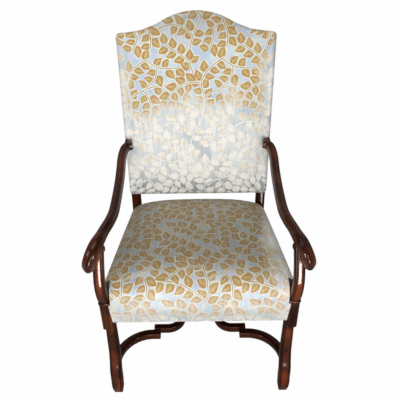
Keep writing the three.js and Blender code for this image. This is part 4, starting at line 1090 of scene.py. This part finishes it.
print("padding the back")
curve = [math.radians(90 - 18 * k) for k in range(1, 6)]
frontRings = [(back["round"] * (1 - math.cos(t)), back["front"] - back["round"] * (1 - math.sin(t)))
              for t in curve]
frontRings += back["side"]
backRings = [*frontRings, *back["tuck"]]
backMesh = upholstered(back["counts"], back["crowd"], backFace, backRings, backRing, backFlat,
                       (back["round"], back["front"]), len(frontRings) - 3)
puffed(backMesh, back["pressure"], back["cap"])
backMesh = refined(backMesh)
armTool = cutOrJoined(blockMesh(cut), [armMesh(cut)], "UNION")
sideTools = [armTool, mirrored(armTool)]
backTools = [*sideTools, uprightTool, mirrored(uprightTool)]
backMesh = tucked(backMesh, sideTools, 0.012, 0.0040, backFrame.to_3x3() @ Vector((0, -1, 0)))
backMesh = cutOrJoined(backMesh, backTools, "DIFFERENCE")
backPiece = piece("padded_back", backMesh, backCloth, ["back_cover", "back_pad"], 50)


# sheets, each with its thickness
sheets = {"outside": {"inset": 0.004, "off": 0.001, "thickness": 0.0012},
          "under": {"inset": 0.010, "off": 0.0009, "thickness": 0.0008}}


def sheetMesh(counts, placeAt, flatAt, thickness):
    bm = bmesh.new()
    flat = bm.verts.layers.float_vector.new("flat")
    bmesh.ops.create_grid(bm, x_segments=counts[0], y_segments=counts[1], size=1)
    for vert in bm.verts:
        a, b = vert.co.x, vert.co.y
        vert[flat] = (*flatAt(a, b), 0)
        vert.co = placeAt(a, b)
    bmesh.ops.recalc_face_normals(bm, faces=bm.faces)
    bmesh.ops.solidify(bm, geom=list(bm.faces), thickness=thickness)
    layFlat(bm, flat)
    return meshFrom(bm)


def outsideFlat(a, b):
    return backPlan(a, b, sheets["outside"]["inset"])


def outsidePlace(a, b):
    x, z = outsideFlat(a, b)
    return toRow @ backPlace(x, back["rear"] + sheets["outside"]["off"], z)


def underFlat(a, b):
    return seatPlan(a, b, sheets["under"]["inset"])


def underPlace(a, b):
    return toRow @ Vector((*underFlat(a, b), chair["railsFoot"] - sheets["under"]["off"]))


print("stretching the sheets")
outside = sheetMesh((32, 40), outsidePlace, outsideFlat, sheets["outside"]["thickness"])
outsidePiece = piece("outside_back_panel", outside, backCloth, ["outside_back"], 60)
under = sheetMesh((30, 26), underPlace, underFlat, sheets["under"]["thickness"])
under = cutOrJoined(under, seatTools, "DIFFERENCE")

# webbing: bands that pass over and under each other, half a band's thickness either way
webbing = {
    "width": 0.050, "thickness": 0.0009, "sway": 0.0005, "seatZ": 0.4263, "turnIn": 0.003, "offRail": 0.0026,
    "seatX": (-0.14775, 0, 0.14775), "seatY": (0.1372, 0.268, 0.3988), "seatTaper": 0.118,
    "backX": (-0.121, 0, 0.121), "backZ": (0.1564, 0.3389, 0.4626, 0.5863), "backFront": 0.0183,
}


def swayAt(place, crossings, first):
    rows = [(crossing, first * (-1) ** k) for k, crossing in enumerate(crossings)]
    for (start, low), (end, high) in zip(rows, rows[1:]):
        if place <= end:
            return webbing["sway"] * between(low, high, smoothStep(start, end, place))
    return webbing["sway"] * rows[-1][1]


def bandMesh(start, end, crossings, first, placeAt):
    def unrolled(a, b):
        return between(start, end, (a + 1) / 2), b * webbing["width"] / 2

    def onBand(a, b):
        run, aside = unrolled(a, b)
        return placeAt(run, aside, swayAt(run, crossings, first))

    return sheetMesh((48, 4), onBand, unrolled, webbing["thickness"])


def gathered(meshes):
    bm = bmesh.new()
    for mesh in meshes:
        bm.from_mesh(mesh)
    return meshFrom(bm)


def crossedBands(columns, rows, ends, halfAt, placeAt):
    bands = []
    for k, x in enumerate(columns):
        bands.append(bandMesh(*ends, rows, (-1) ** k, lambda run, aside, lift: placeAt(x + aside, run, lift)))
    for k, y in enumerate(rows):
        half = halfAt(y)
        bands.append(bandMesh(-half, half, columns, -(-1) ** k,
                              lambda run, aside, lift: placeAt(run, y + aside, lift)))
    return bands


def seatBands():
    low, high = [corner - Vector((0, originY, 0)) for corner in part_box("seat_webbing")]
    return crossedBands(webbing["seatX"], webbing["seatY"], (low.y, high.y),
                        lambda y: high.x - webbing["seatTaper"] * (y - webbing["seatY"][0]),
                        lambda x, y, lift: toRow @ Vector((x, y, webbing["seatZ"] + lift)))


def backBands():
    inset = webbing["turnIn"] + webbing["offRail"]
    ends = (chair["panelLow"] + inset, chair["panelTop"] - inset)
    return crossedBands(webbing["backX"], webbing["backZ"], ends,
                        lambda z: uprightX(z) + chair["uprightSize"] / 2 - webbing["turnIn"],
                        lambda x, z, lift: toRow @ backPlace(x, -webbing["backFront"] - lift, z))


def wovenJute():
    paint = Paint("jute webbing", Specular_IOR_Level=0.2)
    flat = paint.node("ShaderNodeUVMap", {"uv_map": "cloth"})
    threads = [paint.bands(flat, way, 180, 0.8) for way in "XY"]
    across = abs(paint.split(flat)[1])
    stripe = across.clear(0.0165, 0.0170) * (1 - across.clear(0.0190, 0.0195))
    shown = paint.mix(threads[0] * 0.4 + threads[1] * 0.3, "c3ad86", "8d7650")
    shown = paint.mix(stripe * 0.8, shown, "4a3a2c")
    return paint.feeds(Base_Color=shown, Roughness=0.85 + threads[0] * 0.08,
                       Normal=paint.bump(threads[0] + threads[1], 0.6, 0.0004))


print("weaving the webbing")
jute = wovenJute()
for name, bands, node, rest in (("woven_seat_webbing", seatBands(), "seat_webbing", "side_seat_rail_left"),
                                ("woven_back_webbing", backBands(), "back_webbing", "carved_rear_leg_left")):
    webPiece = piece(name, gathered(bands), jute, [node], 60)


def plainPaint(name, code, roughness, scale):
    paint = Paint(name)
    spot = paint.noise(paint.place(), scale, 4)
    darker = (*(c * 0.76 for c in color(code)), 1)
    shown = paint.mix(spot.clear(0.3, 0.75), darker, code)
    return paint.feeds(Base_Color=shown, Roughness=roughness + 0.1 * spot,
                       Normal=paint.bump(spot, 0.3, 0.0003))


print("finishing the frame")
dustPaint = plainPaint("dust cloth", "2b2a2a", 0.85, 900)
underPiece = piece("dust_cloth_panel", under, dustPaint, ["dust_cover"], 60)
finishes = {"screw": plainPaint("screw steel", "9a9c9e", 0.35, 300),
            "glide": plainPaint("glide felt", "c9c6bd", 0.9, 1200),
            "": plainPaint("frame wood", "b98d5c", 0.62, 40)}  # the last is for all other nodes
for name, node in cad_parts.items():
    if not node.hide_render:
        node.data.materials.clear()
        node.data.materials.append(next(finish for word, finish in finishes.items() if word in name))

# camera at the photograph's place, lamps, floor
print("setting up the studio")
eye = {"place": (0.001, -1.031, 1.507), "pitch": 33.30, "yaw": 0.20, "roll": -0.61, "lens": 42.17,
       "sensor": 36}
down, yaw, roll = [math.radians(eye[k]) for k in ("pitch", "yaw", "roll")]
ahead = Vector((math.sin(yaw) * math.cos(down), math.cos(yaw) * math.cos(down), -math.sin(down)))
levelRight = Vector((math.cos(yaw), -math.sin(yaw), 0))
levelUp = levelRight.cross(ahead)
right = levelRight * math.cos(roll) + levelUp * math.sin(roll)
up = levelUp * math.cos(roll) - levelRight * math.sin(roll)
view = bpy.data.cameras.new("view")
view.lens, view.sensor_width, view.clip_end = eye["lens"], eye["sensor"], 100
camera = placed("camera", view)
spot = toRow @ Vector(eye["place"])
camera.matrix_world = Matrix([[right[i], up[i], -ahead[i], spot[i]] for i in range(3)] + [[0, 0, 0, 1]])
scene.camera = camera

# each lamp: place, width and height, power; the panels light the gloss alone
lamps = {
    "window": ((0.35, -3.4, 0.45), (1.2, 1.0), 66), "over": ((-0.5, -0.5, 3.0), (2.0, 2.0), 45),
    "side": ((-2.6, -0.9, 1.5), (0.8, 0.8), 8), "left panel": ((-0.31, -0.86, 0.32), (0.15, 0.3), 8),
    "right panel": ((0.40, -0.86, 0.31), (0.15, 0.28), 7),
}
lampTarget = Vector((0, 0, 0.55))
for name, (place, size, power) in lamps.items():
    lamp = bpy.data.lights.new(name, "AREA")
    lamp.shape, lamp.energy = "RECTANGLE", power
    lamp.size, lamp.size_y = size
    holder = placed(name, lamp)
    holder.location = place
    holder.visible_camera = False
    holder.visible_diffuse = "panel" not in name
    aim = Vector((0, 1, 0)) if "panel" in name else lampTarget - Vector(place)
    holder.rotation_euler = aim.to_track_quat("-Z", "Y").to_euler()


def whiten(paint, kind, toCamera, toGloss):  # white for the camera, and dimly so for the varnish
    surface = paint.shader.outputs[0].links[0].to_socket
    isSeen, isMirrored = [paint.node("ShaderNodeLightPath", output=ray)
                          for ray in ("Is Camera Ray", "Is Glossy Ray")]
    white = paint.node(kind, sockets={"Color": (1, 1, 1, 1), "Strength": 1})
    both = paint.node("ShaderNodeMixShader", sockets={0: isSeen * toCamera + isMirrored * toGloss,
                                                      1: Wire(paint, paint.shader.outputs[0]), 2: white})
    paint.tree.links.new(both.socket, surface)


studio = Paint("studio", "worlds", "Background", Color=(1, 1, 1, 1), Strength=0.22)
whiten(studio, "ShaderNodeBackground", 1, 0.08)
scene.world = studio.owner

bm = bmesh.new()
bmesh.ops.create_grid(bm, x_segments=1, y_segments=1, size=25)
bmesh.ops.translate(bm, vec=(0, 0, -0.0005), verts=bm.verts)
floorMesh = meshFrom(bm)
floorPaint = Paint("floor", Roughness=0.9, Base_Color=(0.4, 0.4, 0.4, 1), Specular_IOR_Level=0.1)
whiten(floorPaint, "ShaderNodeEmission", 0.985, 0.05)
floorMesh.materials.append(floorPaint.owner)
floor = placed("floor", floorMesh)

scene.view_settings.view_transform = "Standard"
